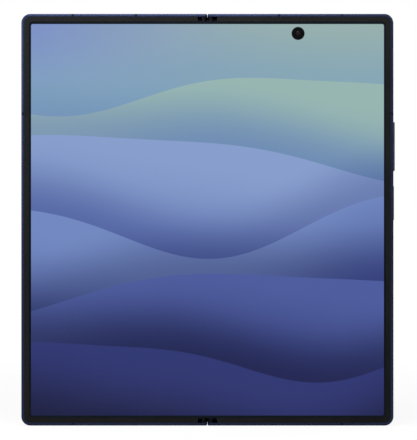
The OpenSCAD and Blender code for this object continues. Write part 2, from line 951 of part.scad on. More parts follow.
function involute(rb, a) = [rb * (cos(a) + a * PI / 180 * sin(a)), rb * (sin(a) - a * PI / 180 * cos(a))];
function turned(p, a) = [p[0] * cos(a) - p[1] * sin(a), p[0] * sin(a) + p[1] * cos(a)];
// Roll angle in degrees at which the involute of base radius rb reaches radius r
function roll(rb, r) = sqrt(max(pow(r / rb, 2) - 1, 0)) * 180 / PI;

// One side of a tooth that is centred on angle 0, from the root outwards
function flank(n) =
    let (r = gear_m * n / 2,
         rb = r * cos(pressure_angle),
         root = r - dedendum * gear_m,
         tip = r + addendum * gear_m,
         from = max(root, rb),
         inv = (tan(pressure_angle) * 180 / PI) - pressure_angle,
         half = 90 / n * (1 - backlash) + inv)
    concat([turned([root * root_share, 0], -half)],
        [for (i = [0 : flank_steps])
            turned(involute(rb, roll(rb, from + (tip - from) * i / flank_steps)), -half)]);

module tooth(n) {
    side = flank(n);
    last = len(side) - 1;
    polygon(concat(side, [for (i = [0 : last]) [side[last - i][0], -side[last - i][1]]]));
}

// Teeth numbered k0 to k1 stand at phase + k pitches round the hub
module gear_outline(n, phase, k0, k1) {
    circle(gear_m * n / 2 - dedendum * gear_m);
    for (k = [k0 : k1]) rotate([0, 0, phase + k * 360 / n]) tooth(n);
}

// The left-hand train is drawn, with angles measured from +x. The right-hand one is its mirror
// image turned by half a tooth, so that the two idlers mesh.
module sector_gear(shift) {
    along_fold(rim_w, rim_w + gear_w) translate([-fold_x, fold_z]) difference() {
        gear_outline(sector_n, mesh_angle + shift * 180 / sector_n, sector_first, sector_last - shift);
        circle(pin_r + pin_gap);
    }
}

module idler(shift) {
    space = mesh_angle + 180 + 180 / idler_n;
    along_fold(rim_w + idler_gap, rim_w + gear_w) translate([-idler_x, idler_z]) difference() {
        gear_outline(idler_n, space + shift * 180 / idler_n, 0, idler_n - 1);
        circle(idler_pin_r + pin_gap);
    }
}

module left_sector_gears() {
    color(steel_colour) upright() at_both_ends() sector_gear(0);
}

module right_sector_gears() {
    color(steel_colour) upright() at_both_ends() mirrored() sector_gear(1);
}

module lower_left_idler() {
    color(metal_colour) upright() idler(0);
}

module lower_right_idler() {
    color(metal_colour) upright() mirrored() idler(1);
}

module upper_left_idler() {
    color(metal_colour) upright() translate([0, body_h, 0]) mirror([0, 1, 0]) idler(0);
}

module upper_right_idler() {
    color(metal_colour) upright() translate([0, body_h, 0]) mirror([0, 1, 0]) mirrored() idler(1);
}

// ---- Right half: the camera half, with the keys and the charging port ----

module key_opening(y, l) {
    translate([half_w - rim_w - cut, y, key_z]) rotate([90, 0, 90])
        linear_extrude(rim_w + 2 * cut) slot_outline(l + 2 * key_gap, key_t + 2 * key_gap);
}

module hole_row(x, y0, y1) {
    for (i = [0 : hole_n - 1]) translate([x + i * hole_pitch, y1, hole_z])
        rotate([90, 0, 0]) cylinder(r = hole_r, h = y1 - y0);
}

module port_room() {
    along_fold(-cut, port_l + port_end_gap) translate([port_x, port_z])
        slot_outline(port_w + 2 * port_wall + 2 * face_gap, port_t + 2 * port_wall + 2 * face_gap);
}

module microphone_hole(x, y) {
    translate([x, y + cut, hole_z]) rotate([90, 0, 0]) cylinder(r = hole_r / 2, h = rim_w + 2 * cut);
}

module right_frame() {
    color(frame_colour) upright() difference() {
        union() {
            half_frame(1);
            bosses(right_screw_places);
            box(key_wall_x - key_wall_t, key_wall_x, side_y - side_l / 2, volume_y + volume_l / 2,
                glass_t + ledge_t, plate_z);
        }
        key_opening(volume_y, volume_l);
        key_opening(side_y, side_l);
        hole_row(hole_x, -cut, rim_w + cut);
        microphone_hole(port_x + mic_space, rim_w);
        microphone_hole(port_x, body_h);
        port_room();
        boss_bores(right_screw_places);
        translate([punch_x, punch_y, plate_z - cut])
            cylinder(r = punch_d / 2 + punch_clear, h = plate_t + 2 * cut);
    }
}

module right_antenna_bands() {
    color(band_colour) upright() antenna_bands();
}

module island_outline(grow) {
    translate([cam_x, cam_y]) rotate([0, 0, 90]) slot_outline(island_h + 2 * grow, island_w + 2 * grow);
}

module back_glass_plan() {
    half_plan(rim_w + bracket_gap, inner_r(rim_w), glass_x + face_gap);
}

module rear_glass() {
    color(glass_colour) upright() difference() {
        layer(0, glass_t) back_glass_plan();
        layer(-cut, glass_t + cut) island_outline(face_gap);
        translate([flash_x, flash_y, -cut]) cylinder(r = flash_r + face_gap, h = glass_t + 2 * cut);
    }
}

module at_cameras() {
    for (y = cam_ys) translate([cam_x, y, 0]) children();
}

module camera_island() {
    bore = lens_r + spigot_w;
    color(frame_colour) upright() difference() {
        union() {
            layer(-island_out + island_step, glass_t) island_outline(0);
            layer(-island_out, glass_t) island_outline(-island_step);
            layer(glass_t, glass_t + ledge_t) island_outline(island_flange);
        }
        at_cameras() translate([0, 0, -island_out - cut]) cylinder(r = bore, h = body_t);
    }
}

// Each ring sits on the island, with a spigot in the island's bore and a seat for its lens cover
module camera_rings() {
    seat_x = lens_r - ring_seat;
    top = island_out + ring_out;
    color(metal_colour) upright() at_cameras() rotate_extrude() difference() {
        union() {
            translate([seat_x, -top]) square([ring_r - ring_step - seat_x, ring_step]);
            translate([seat_x, -top + ring_step]) square([ring_r - seat_x, ring_out - ring_step]);
            translate([seat_x, -island_out - lap]) square([ring_seat + spigot_w - bracket_gap, spigot_l]);
        }
        translate([0, -top - cut]) square([lens_r, cut + ring_out - ring_back]);
    }
}

module camera_lens_covers() {
    color(dark_colour) upright() at_cameras() translate([0, 0, -island_out - ring_out + lens_sunk])
        cylinder(r = lens_r - bracket_gap, h = ring_out - ring_back - lens_sunk);
}

// A camera's barrel rises from a square base into the island
module camera_module(i) {
    front = -island_out - barrel_rise;
    r = lens_r - barrel_gaps[i];
    half = cam_base / 2;
    translate([cam_x, cam_ys[i], 0]) difference() {
        union() {
            translate([0, 0, front]) cylinder(r = r, h = plate_z - face_gap - front);
            round_box(-half, half, -half, half, glass_t + ledge_t, plate_z - face_gap, cam_base_r);
        }
        translate([0, 0, front - cut])
            cylinder(r1 = r - barrel_lip + cut, r2 = stop_rs[i], h = stop_depths[i] + cut);
    }
}

module ultrawide_camera() {
    color(dark_colour) upright() camera_module(0);
}

module wide_camera() {
    color(dark_colour) upright() camera_module(1);
}

module tele_camera() {
    color(dark_colour) upright() camera_module(2);
}

module flash_lens() {
    color([0.95, 0.9, 0.75]) upright() translate([flash_x, flash_y, 0]) {
        cylinder(r = flash_r, h = glass_t);
        translate([0, 0, glass_t])
            cylinder(r = flash_r + flash_flange, h = board_z - glass_t - flash_back_gap);
    }
}

module board_holes(places) {
    for (p = places) translate([p[0], p[1], board_z - cut])
        cylinder(r = screw_r + screw_gap, h = board_t + 2 * cut);
}

module main_board() {
    color(board_colour) upright() difference() {
        round_box(bay_x, main_board_x1, main_board_y0, board_top, board_z, board_z + board_t, board_r);
        board_holes(main_board_screws);
        box(punch_x - punch_room, punch_x + punch_room, punch_y - punch_room, board_top + cut,
            board_z - cut, board_z + board_t + cut);
    }
}

// Pressed cans over the chips, on both the main and the lower board
module board_shields() {
    z0 = board_z + board_t;
    z1 = plate_z - can_top_gap;
    x0 = bay_x + can_inset;
    x1 = main_board_x1 - can_screw_room;
    mid = (main_board_y0 + board_top) / 2;
    color(metal_colour) upright() {
        round_box(bay_x + can_screw_room, x1, main_board_y0 + can_y, mid - can_low, z0, z1, board_r);
        round_box(x0, x1, mid - can_low + can_space, mid + can_high, z0, z1, board_r);
        round_box(x0, punch_x - can_end, mid + can_high + can_space, board_top - can_end, z0, z1, board_r);
        round_box(bay_x + sub_can_in, sub_board_x1 - sub_can_end, sub_board_y0 + sub_can_in,
            sub_board_y1 - can_space, z0, z1, board_r);
    }
}

module right_battery() {
    color(cell_colour) upright() round_box(bay_x, battery_x1, battery_y, battery_y + battery_l,
        plate_z - battery_t, plate_z, cell_r);
}

// A flat coil under the rear glass: a ferrite sheet with its turns
module wireless_coil() {
    sheet_z = glass_t + turn_t;
    centre = [(bay_x + battery_x1) / 2, battery_y + battery_l / 2];
    color(copper_colour) upright() translate([centre[0], centre[1], 0]) rotate_extrude() {
        translate([coil_r, sheet_z]) square([coil_w, plate_z - battery_t - sheet_z]);
        for (i = [0 : coil_turns - 1]) translate([turn_r + i * turn_pitch, glass_t]) square([turn_w, turn_t]);
    }
}

module usb_port() {
    outer_w = port_w + 2 * port_wall;
    outer_t = port_t + 2 * port_wall;
    color(metal_colour) upright() difference() {
        along_fold(port_front, port_l) translate([port_x, port_z]) slot_outline(outer_w, outer_t);
        along_fold(-cut, port_l - port_end_t) translate([port_x, port_z]) slot_outline(port_w, port_t);
    }
}

module usb_tongue() {
    half_t = tongue_t / 2;
    color(dark_colour) upright() {
        box(port_x - tongue_w / 2, port_x + tongue_w / 2, tongue_y, port_l - port_end_t,
            port_z - half_t, port_z + half_t);
        for (i = [0 : contact_n - 1], m = [0, 1]) {
            x = port_x + (i - (contact_n - 1) / 2) * contact_pitch;
            translate([0, 0, port_z]) mirror([0, 0, m]) box(x - contact_w / 2, x + contact_w / 2,
                contact_y, contact_y + contact_l, half_t - contact_sunk, half_t + contact_proud);
        }
    }
}

// The dish over the cone lies in the speaker's back
module speaker_box(y0, y1, z0) {
    x0 = hole_x - speaker_side;
    x1 = half_w - rim_w - speaker_edge;
    difference() {
        round_box(x0, x1, y0, y1, z0, plate_z - face_gap, speaker_r);
        round_box(x0 + dish_in, x1 - dish_in, y0 + dish_end, y1 - dish_in, z0 - cut, z0 + dish_depth, dish_r);
    }
}

module bottom_speaker() {
    color(dark_colour) upright()
        speaker_box(rim_w + speaker_gap, speaker_top, glass_t + ledge_t + face_gap);
}

module speaker_mesh() {
    color(metal_colour) upright() box(hole_x - mesh_over, hole_x + (hole_n - 1) * hole_pitch + mesh_over,
        rim_w, rim_w + mesh_t, glass_t + ledge_t + face_gap, plate_z - face_gap);
}

module sub_board() {
    color(board_colour) upright() difference() {
        round_box(bay_x, sub_board_x1, sub_board_y0, sub_board_y1, board_z, board_z + board_t, board_r);
        board_holes(sub_board_screws);
    }
}

module vibration_motor() {
    x0 = bay_x + motor_space;
    color(metal_colour) upright() round_box(x0, x0 + motor_l, rim_w + ledge_w + motor_gap, port_l,
        glass_t + ledge_t + face_gap, plate_z, motor_r);
}

// Three dome switches on a strip that the frame's inner wall carries, each just short of its key
module key_switches() {
    z0 = key_z - switch_w / 2;
    color(copper_colour) upright() {
        box(key_wall_x, switch_x, side_y - side_l / 2, volume_y + volume_l / 2, z0, z0 + switch_w);
        dome(side_y, flange_back(face_gap) - key_travel - face_gap);
        for (s = [-1, 1])
            dome(volume_y + s * dome_share * volume_l, flange_back(volume_slack) - volume_slack);
    }
}

module dome(y, tip_x) {
    translate([switch_x, y, key_z]) rotate([0, 90, 0])
        cylinder(r1 = dome_r, r2 = dome_tip_r, h = tip_x - switch_x);
}

// Where the back of a key's flange lies, for a gap between the flange and the rim
function flange_back(gap) = half_w - rim_w - gap - flange_t;

// A key: its body passes through the rim, and a flange behind keeps it in
module key_body(y, l, stand_out, gap) {
    x1 = half_w - rim_w - gap;
    face_x = half_w + stand_out;
    cap_t = key_step + lap / 2;
    translate([x1 - flange_t, y, key_z]) rotate([90, 0, 90])
        linear_extrude(flange_t) slot_outline(l + 2 * flange_over, key_t + 2 * flange_rise);
    translate([x1 - lap, y, key_z]) rotate([90, 0, 90])
        linear_extrude(face_x - key_step - x1 + lap) slot_outline(l, key_t);
    translate([face_x - cap_t, y, key_z]) rotate([90, 0, 90])
        linear_extrude(cap_t) slot_outline(l - 2 * key_step, key_t - 2 * key_step);
}

// The volume key rocks on a rounded rib at its middle
module volume_key() {
    rib_x = switch_x + face_gap + rib_r;
    rib_z = key_z - key_t / 2 + face_gap;
    color(frame_colour) upright() {
        key_body(volume_y, volume_l, volume_out, volume_slack);
        translate([rib_x, volume_y, rib_z]) cylinder(r = rib_r, h = key_t - 2 * face_gap);
        box(rib_x, flange_back(volume_slack) + lap, volume_y - rib_r + face_gap, volume_y + rib_r - face_gap,
            rib_z, rib_z + key_t - 2 * face_gap);
    }
}

module side_key() {
    color(frame_colour) upright() key_body(side_y, side_l, side_out, face_gap);
}

module inner_camera() {
    half = small_cam_w / 2;
    color(dark_colour) upright() translate([punch_x, punch_y, 0]) difference() {
        union() {
            round_box(-half, half, -half, half, board_z, plate_z - face_gap, small_cam_r);
            translate([0, 0, board_z])
                cylinder(r = punch_d / 2 - face_gap, h = display_top - board_z - face_gap);
        }
        translate([0, 0, display_top - cone_depth])
            cylinder(r1 = cone_stop_r, r2 = 2 * cone_mouth_r - cone_stop_r, h = 2 * cone_depth);
    }
}

module right_display_trim() {
    color(trim_colour) upright() display_trim();
}

module display_right_panel() {
    color(screen_colour) upright() difference() {
        display_panel();
        translate([punch_x, punch_y, display_z - cut]) cylinder(r = punch_d / 2, h = display_t + 2 * cut);
    }
}

module half_magnets(z0) {
    x1 = half_w - rim_w;
    for (y = magnet_ys) for (i = [0 : 2])
        box(x1 - magnet_t, x1, y + i * magnet_l / 3, y + (i + 1) * magnet_l / 3 - magnet_gap, z0, plate_z);
}

module right_magnets() {
    color(metal_colour) upright() half_magnets(glass_t + ledge_t);
}

module right_board_screws() {
    color(metal_colour) upright() board_screws(right_screw_places);
}

module right_hinge_rails() {
    color(steel_colour) upright() half_rails(1);
}

module right_hinge_screws() {
    color(metal_colour) upright() half_hinge_screws(1);
}

module right_wing_plate() {
    color(steel_colour) upright() wing_plate();
}

// ---- Left half: the cover display half, drawn on the right and mirrored ----

module cover_panel_plan() {
    half_plan(rim_w + ledge_w + face_gap, inner_r(rim_w + ledge_w), panel_x0);
}

module tray_slot() {
    translate([half_w - rim_w - cut, tray_y, tray_z]) rotate([90, 0, 90])
        linear_extrude(rim_w + 2 * cut) slot_outline(tray_face_w + 2 * tray_gap, tray_face_t + 2 * tray_gap);
}

module left_frame() {
    color(frame_colour) upright() mirrored() difference() {
        union() {
            half_frame(-1);
            bosses(left_screw_places);
        }
        layer(glass_t - cut, cover_panel_z1 + face_gap)
            half_plan(rim_w + ledge_w, inner_r(rim_w + ledge_w), panel_x0 - face_gap);
        hole_row(hole_x, body_h - rim_w - cut, body_h + cut);
        tray_slot();
        boss_bores(left_screw_places);
    }
}

module left_antenna_bands() {
    color(band_colour) upright() mirrored() antenna_bands();
}

module cover_glass() {
    color(glass_colour) upright() mirrored() layer(0, glass_t) back_glass_plan();
}

module cover_display_panel() {
    color(dark_colour) upright() mirrored() difference() {
        layer(glass_t, cover_panel_z1) cover_panel_plan();
        translate([cover_cam_x, cover_cam_y, glass_t - cut])
            cylinder(r = cover_cam_r, h = cover_panel_t + 2 * cut);
    }
}

module cover_camera() {
    half = small_cam_w / 2;
    color(dark_colour) upright() mirrored() translate([cover_cam_x, cover_cam_y, 0]) difference() {
        union() {
            round_box(-half, half, -half, half, board_z + cover_cam_back, plate_z, small_cam_r);
            translate([0, 0, glass_t + face_gap]) cylinder(r = cover_cam_r - face_gap, h = board_z);
        }
        translate([0, 0, glass_t - cut])
            cylinder(r1 = cover_cone_r, r2 = cone_stop_r, h = cone_depth + cut);
    }
}

module left_battery() {
    color(cell_colour) upright() mirrored() round_box(bay_x, half_w - thin_battery_edge,
        thin_battery_y0, thin_battery_y1, plate_z - thin_battery_t, plate_z, cell_r);
}

module left_boards() {
    color(board_colour) upright() mirrored() for (b = [upper_board, lower_board]) difference() {
        round_box(b[0], b[1], b[2], b[3], board_z, board_z + board_t, board_r);
        board_holes(left_screw_places);
    }
}

module top_speaker() {
    color(dark_colour) upright() mirrored()
        speaker_box(body_h - top_speaker_drop, body_h - rim_w - speaker_gap, board_z);
}

// Metal cage that the card tray runs in, open at the rim and below its window
module card_reader() {
    x1 = half_w - rim_w - ledge_w;
    x0 = half_w - rim_w - tray_l - reader_end;
    half = tray_w / 2;
    level = tray_t / 2 + tray_gap;
    color(metal_colour) upright() mirrored() difference() {
        box(x0, x1, tray_y - half - reader_wall, tray_y + half + reader_wall,
            cover_panel_z1 + face_gap, plate_z);
        box(x0 + reader_wall, x1 + cut, tray_y - half - tray_gap, tray_y + half + tray_gap,
            tray_z - level, tray_z + level);
    }
}

module card_tray() {
    x1 = half_w - rim_w;
    half = tray_w / 2;
    eject_y = tray_y - tray_face_w / 2 + eject_in;
    color(frame_colour) upright() mirrored() difference() {
        union() {
            translate([x1, tray_y, tray_z]) rotate([90, 0, 90])
                linear_extrude(rim_w) slot_outline(tray_face_w, tray_face_t);
            box(x1 - tray_l, x1 + lap, tray_y - half, tray_y + half,
                tray_z - tray_t / 2, tray_z + tray_t / 2);
        }
        box(x1 - tray_l + tray_end, x1 - tray_root, tray_y - card_w / 2, tray_y + card_w / 2,
            tray_z - tray_t, tray_z + tray_t);
        translate([x1 - cut, eject_y, tray_z]) rotate([0, 90, 0]) cylinder(r = eject_r, h = rim_w + 2 * cut);
    }
}

module left_display_trim() {
    color(trim_colour) upright() mirrored() display_trim();
}

module display_left_panel() {
    color(screen_colour) upright() mirrored() display_panel();
}

module left_magnets() {
    color(metal_colour) upright() mirrored() half_magnets(cover_panel_z1 + face_gap);
}

module left_board_screws() {
    color(metal_colour) upright() mirrored() board_screws(left_screw_places);
}

module left_hinge_rails() {
    color(steel_colour) upright() mirrored() half_rails(-1);
}

module left_hinge_screws() {
    color(metal_colour) upright() mirrored() half_hinge_screws(-1);
}

module left_wing_plate() {
    color(steel_colour) upright() mirrored() wing_plate();
}

right_frame();
right_antenna_bands();
rear_glass();
camera_island();
camera_rings();
camera_lens_covers();
wide_camera();
ultrawide_camera();
tele_camera();
flash_lens();
main_board();
board_shields();
right_battery();
wireless_coil();
usb_port();
usb_tongue();
bottom_speaker();
speaker_mesh();
sub_board();
vibration_motor();
key_switches();
inner_camera();
right_display_trim();
display_right_panel();
right_magnets();
right_board_screws();
right_hinge_rails();
right_sector_gears();
right_hinge_screws();
volume_key();
side_key();
right_wing_plate();
hinge_cover();
hinge_end_caps();
hinge_pins();
hinge_brackets();
bracket_screws();
display_fold_strip();
lower_left_idler();
lower_right_idler();
upper_left_idler();
upper_right_idler();
left_frame();
left_antenna_bands();
cover_glass();
cover_display_panel();
cover_camera();
left_battery();
left_boards();
top_speaker();
card_reader();
left_display_trim();
display_left_panel();
left_magnets();
left_board_screws();
left_hinge_rails();
left_sector_gears();
left_hinge_screws();
card_tray();
left_wing_plate();
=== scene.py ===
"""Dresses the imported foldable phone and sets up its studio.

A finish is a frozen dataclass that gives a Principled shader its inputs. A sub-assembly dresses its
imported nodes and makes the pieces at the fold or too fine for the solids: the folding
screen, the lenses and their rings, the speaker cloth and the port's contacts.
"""
from __future__ import annotations

import logging
import math
from abc import ABC, abstractmethod
from collections.abc import Mapping, Sequence
from dataclasses import asdict, dataclass
from enum import Enum
from functools import cache
from itertools import product

import bmesh
import bpy
from mathutils import Matrix, Vector


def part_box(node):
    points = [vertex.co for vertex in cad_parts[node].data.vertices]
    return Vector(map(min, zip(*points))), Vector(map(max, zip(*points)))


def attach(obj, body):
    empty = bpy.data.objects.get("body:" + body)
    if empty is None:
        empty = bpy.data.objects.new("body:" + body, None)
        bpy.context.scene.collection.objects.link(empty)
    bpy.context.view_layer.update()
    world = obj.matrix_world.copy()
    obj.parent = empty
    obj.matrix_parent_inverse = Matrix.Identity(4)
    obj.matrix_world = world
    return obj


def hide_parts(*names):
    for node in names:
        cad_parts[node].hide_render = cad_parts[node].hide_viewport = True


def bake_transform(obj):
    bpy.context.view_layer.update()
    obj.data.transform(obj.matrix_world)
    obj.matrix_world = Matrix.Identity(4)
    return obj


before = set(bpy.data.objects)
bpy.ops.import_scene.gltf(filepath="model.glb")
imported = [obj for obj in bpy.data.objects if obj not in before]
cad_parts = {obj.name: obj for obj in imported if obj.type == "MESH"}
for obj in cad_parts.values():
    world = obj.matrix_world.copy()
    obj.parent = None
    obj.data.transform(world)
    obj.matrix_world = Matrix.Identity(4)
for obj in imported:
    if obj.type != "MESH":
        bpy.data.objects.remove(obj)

LOG = logging.getLogger("folding_phone")
MM = 0.001

Mesh = bpy.types.Mesh
Piece = bpy.types.Object
Socket = bpy.types.NodeSocket
Tree = bpy.types.NodeTree
Colour = tuple[float, float, float]
Point = tuple[float, float]
Place = tuple[float, float, float]
Feed = float | Sequence[float] | Socket
Feeds = Mapping[str | int, Feed]

ORIGIN: Place = (0.0, 0.0, 0.0)
BLACKNESS: Colour = (0.0, 0.0, 0.0)
WHITE: Colour = (1.0, 1.0, 1.0)
GREY = (0.5, 0.5, 0.5, 1.0)


def srgb(red: int, green: int, blue: int) -> Colour:
    """Turns an 8-bit screen colour into a linear one.

    Args:
        red: The red channel, 0 to 255.
        green: The green channel, 0 to 255.
        blue: The blue channel, 0 to 255.

    Returns:
        The linear colour.
    """
    shares = (channel / 255 for channel in (red, green, blue))
    return tuple(s / 12.92 if s <= 0.04045 else ((s + 0.055) / 1.055) ** 2.4 for s in shares)


def middle_of(box: Sequence[Vector]) -> Point:
    """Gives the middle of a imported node's box, across and up the phone."""
    low, high = box
    return (low.x + high.x) / 2, (low.z + high.z) / 2


# ---------------------------------------------------------------- node trees


class SocketKind(Enum):
    """The kinds of socket that the node groups have."""

    VALUE = "NodeSocketFloat"
    COLOUR = "NodeSocketColor"
    PLACE = "NodeSocketVector"
    COUNT = "NodeSocketInt"
    SHAPE = "NodeSocketGeometry"
    FINISH = "NodeSocketMaterial"

    @classmethod
    def of(cls, plain: object) -> SocketKind:
        """Tells an input's kind from its plain value; a finish has none."""
        if plain is None:
            return cls.FINISH
        if isinstance(plain, int | float):
            return cls.COUNT if isinstance(plain, int) else cls.VALUE
        return cls.PLACE if len(plain) == 3 else cls.COLOUR


class Graph:
    """A node tree with short ways of adding and joining its nodes."""

    def __init__(self, tree: Tree) -> None:
        """Takes the tree that the nodes go into."""
        self.tree = tree

    @classmethod
    def emptied(cls, owner: bpy.types.Material | bpy.types.World) -> Graph:
        """Starts the node tree of a material or world afresh."""
        owner.use_nodes = True
        owner.node_tree.nodes.clear()
        return cls(owner.node_tree)

    def feed(self, socket: Socket, value: Feed) -> None:
        """Links a socket to another, or sets its value.

        Args:
            socket: The input to feed.
            value: A socket, a number, or the parts of a colour or vector.
        """
        if isinstance(value, Socket):
            self.tree.links.new(value, socket)
        elif socket.type == "RGBA" and len(value) == 3:
            socket.default_value = (*value, 1.0)
        else:
            socket.default_value = value

    def add(self, kind: str, feeds: Feeds | None = None, **settings: object) -> bpy.types.Node:
        """Adds a node.

        Args:
            kind: Blender's name of the node's type.
            feeds: Values or links by the input's name or number.
            **settings: The node's own properties, set before its inputs.

        Returns:
            The node.
        """
        node = self.tree.nodes.new(kind)
        for name, value in settings.items():
            setattr(node, name, value)
        for key, value in (feeds or {}).items():
            self.feed(node.inputs[key], value)
        return node

    def out(self, kind: str, feeds: Feeds | None = None, **settings: object) -> Socket:
        """Adds a node and gives its first output."""
        return self.add(kind, feeds, **settings).outputs[0]

    def group(self, tree: Tree, feeds: Mapping[str, Feed]) -> Mapping[str, Socket]:
        """Places a shader node group and gives its outputs."""
        return self.add("ShaderNodeGroup", feeds, node_tree=tree).outputs

    def math(self, operation: str, *terms: Feed, clamp: bool = False) -> Socket:
        """Adds a Math node and gives its result."""
        return self.out("ShaderNodeMath", dict(enumerate(terms)), operation=operation, use_clamp=clamp)

    def times(self, first: Feed, second: Feed) -> Socket:
        """Multiplies two values."""
        return self.math("MULTIPLY", first, second)

    def rise(self, share: Feed, gain: Feed, base: Feed, clamp: bool = False) -> Socket:
        """Adds a share of a gain to a base."""
        return self.math("MULTIPLY_ADD", share, gain, base, clamp=clamp)

    def length(self, across: Feed, up: Feed) -> Socket:
        """Gives the length of a vector in a plane."""
        return self.math("SQRT", self.math("ADD", *(self.math("POWER", part, 2.0) for part in (across, up))))

    def vector(self, parts: Mapping[int, Feed]) -> Socket:
        """Joins x, y and z, by their numbers, into a vector."""
        return self.out("ShaderNodeCombineXYZ", parts)

    def parts(self, place: Feed) -> Sequence[Socket]:
        """Splits a vector into x, y and z."""
        return self.add("ShaderNodeSeparateXYZ", {0: place}).outputs

    def scaled(self, place: Feed, scale: Feed) -> Socket:
        """Multiplies a vector part by part."""
        return self.out("ShaderNodeVectorMath", {0: place, 1: scale}, operation="MULTIPLY")

    def mix(self, share: Feed, first: Feed, second: Feed) -> Socket:
        """Mixes two colours by a share of the second."""
        return self.add("ShaderNodeMix", {0: share, 6: first, 7: second}, data_type="RGBA").outputs[2]

    def between(self, value: Feed, start: Feed, end: Feed, low: float = 0.0, high: float = 1.0) -> Socket:
        """Eases a value from low to high as it goes from start to end."""
        feeds = {0: value, 1: start, 2: end, 3: low, 4: high}
        return self.out("ShaderNodeMapRange", feeds, interpolation_type="SMOOTHSTEP")

    def noise(self, place: Feed, scale: Feed, detail: float = 2.0) -> Socket:
        """Gives the value of a noise at a place."""
        return self.out("ShaderNodeTexNoise", {"Vector": place, "Scale": scale, "Detail": detail})


class Group(Graph):
    """A node group with named inputs and outputs."""

    def __init__(
        self,
        name: str,
        inputs: Mapping[str, object],
        outputs: Mapping[str, SocketKind],
        kind: str = "ShaderNodeTree",
    ) -> None:
        """Makes the group and its sockets.

        Args:
            name: The group's name.
            inputs: The plain value of each input, by name.
            outputs: The kind of each output, by name.
            kind: The type of tree.
        """
        super().__init__(bpy.data.node_groups.new(name, kind))
        new_socket = self.tree.interface.new_socket
        for label, plain in inputs.items():
            socket = new_socket(name=label, in_out="INPUT", socket_type=SocketKind.of(plain).value)
            if plain is not None:
                socket.default_value = plain
        for label, socket_kind in outputs.items():
            new_socket(name=label, in_out="OUTPUT", socket_type=socket_kind.value)
        self.inputs = self.tree.nodes.new("NodeGroupInput").outputs
        self.outputs = self.tree.nodes.new("NodeGroupOutput").inputs

    def giving(self, **results: Socket) -> Tree:
        """Feeds the group's outputs and gives its tree."""
        for label, result in results.items():
            self.feed(self.outputs[label], result)
        return self.tree


@cache
def surface_grain() -> Tree:
    """Fine grain for a bump, and a soft drift for tone, both 0 to 1."""
    outputs = {"Height": SocketKind.VALUE, "Tone": SocketKind.VALUE}
    g = Group("surface_grain", {"Place": ORIGIN, "Grain": 9000.0, "Drift": 60.0}, outputs)
    drift = g.noise(g.inputs["Place"], g.inputs["Drift"], 4.0)
    return g.giving(Height=g.noise(g.inputs["Place"], g.inputs["Grain"], 3.0), Tone=g.between(drift, 0.3, 0.7))


@cache
def handling_marks() -> Tree:
    """Faint smears and specks that handling leaves on a smooth face, 0 to 1."""
    g = Group("handling_marks", {"Place": ORIGIN, "Amount": 1.0}, {"Smear": SocketKind.VALUE})
    place = g.inputs["Place"]
    patches = g.between(g.noise(place, 45.0, 2.0), 0.48, 0.68)
    streaks = g.between(g.noise(g.scaled(place, (900.0, 900.0, 260.0)), 1.0, 4.0), 0.35, 0.75)
    specks = g.between(g.noise(place, 2600.0, 1.0), 0.72, 0.78)
    smear = g.rise(patches, streaks, g.times(specks, 0.5), clamp=True)
    return g.giving(Smear=g.times(smear, g.inputs["Amount"]))


@cache
def brushing() -> Tree:
    """Fine lines drawn out along one direction: a height and a shade, 0 to 1."""
    outputs = {"Height": SocketKind.VALUE, "Shade": SocketKind.VALUE}
    g = Group("brushing", {"Place": ORIGIN, "Lines": (9000.0, 9000.0, 300.0)}, outputs)
    lines = g.scaled(g.inputs["Place"], g.inputs["Lines"])
    return g.giving(Height=g.noise(lines, 1.0, 3.0), Shade=g.between(g.noise(lines, 0.35, 2.0), 0.35, 0.65))


@cache
def rounded_area() -> Tree:
    """A mask that is 1 within a rounded rectangle, from a place across and up the phone."""
    sizes = {"Half width": 10 * MM, "Half height": 10 * MM, "Corner": MM, "Edge": 0.04 * MM}
    g = Group("rounded_area", {"Place": ORIGIN, "Middle": ORIGIN, **sizes}, {"Mask": SocketKind.VALUE})
    given = g.inputs
    feeds = {0: given["Place"], 1: given["Middle"]}
    across, up, _ = g.parts(g.out("ShaderNodeVectorMath", feeds, operation="SUBTRACT"))
    over = []
    for part, half in ((across, "Half width"), (up, "Half height")):
        core = g.math("SUBTRACT", given[half], given["Corner"])
        over.append(g.math("SUBTRACT", g.math("ABSOLUTE", part), core))
    reach = g.length(*(g.math("MAXIMUM", part, 0.0) for part in over))
    inside = g.math("MINIMUM", g.math("MAXIMUM", *over), 0.0)
    distance = g.math("SUBTRACT", g.math("ADD", reach, inside), given["Corner"])
    return g.giving(Mask=g.between(distance, given["Edge"], g.times(given["Edge"], -1.0)))


@dataclass(frozen=True)
class Dune:
    """The sizes of one dune of the wallpaper, in metres, and its colours.

    The fields are the inputs of its node group, by name.
    """

    level: float = 0.08
    swell: float = 0.01
    stretch: float = 30.0
    shift: float = 0.0
    crest: Sequence[float] = GREY
    foot: Sequence[float] = GREY
    depth: float = 0.05
    shade: float = 0.35

    def feeds(self) -> dict[str, Feed]:
        """Gives the inputs of the dune's node group."""
        return {label.capitalize(): value for label, value in asdict(self).items()}


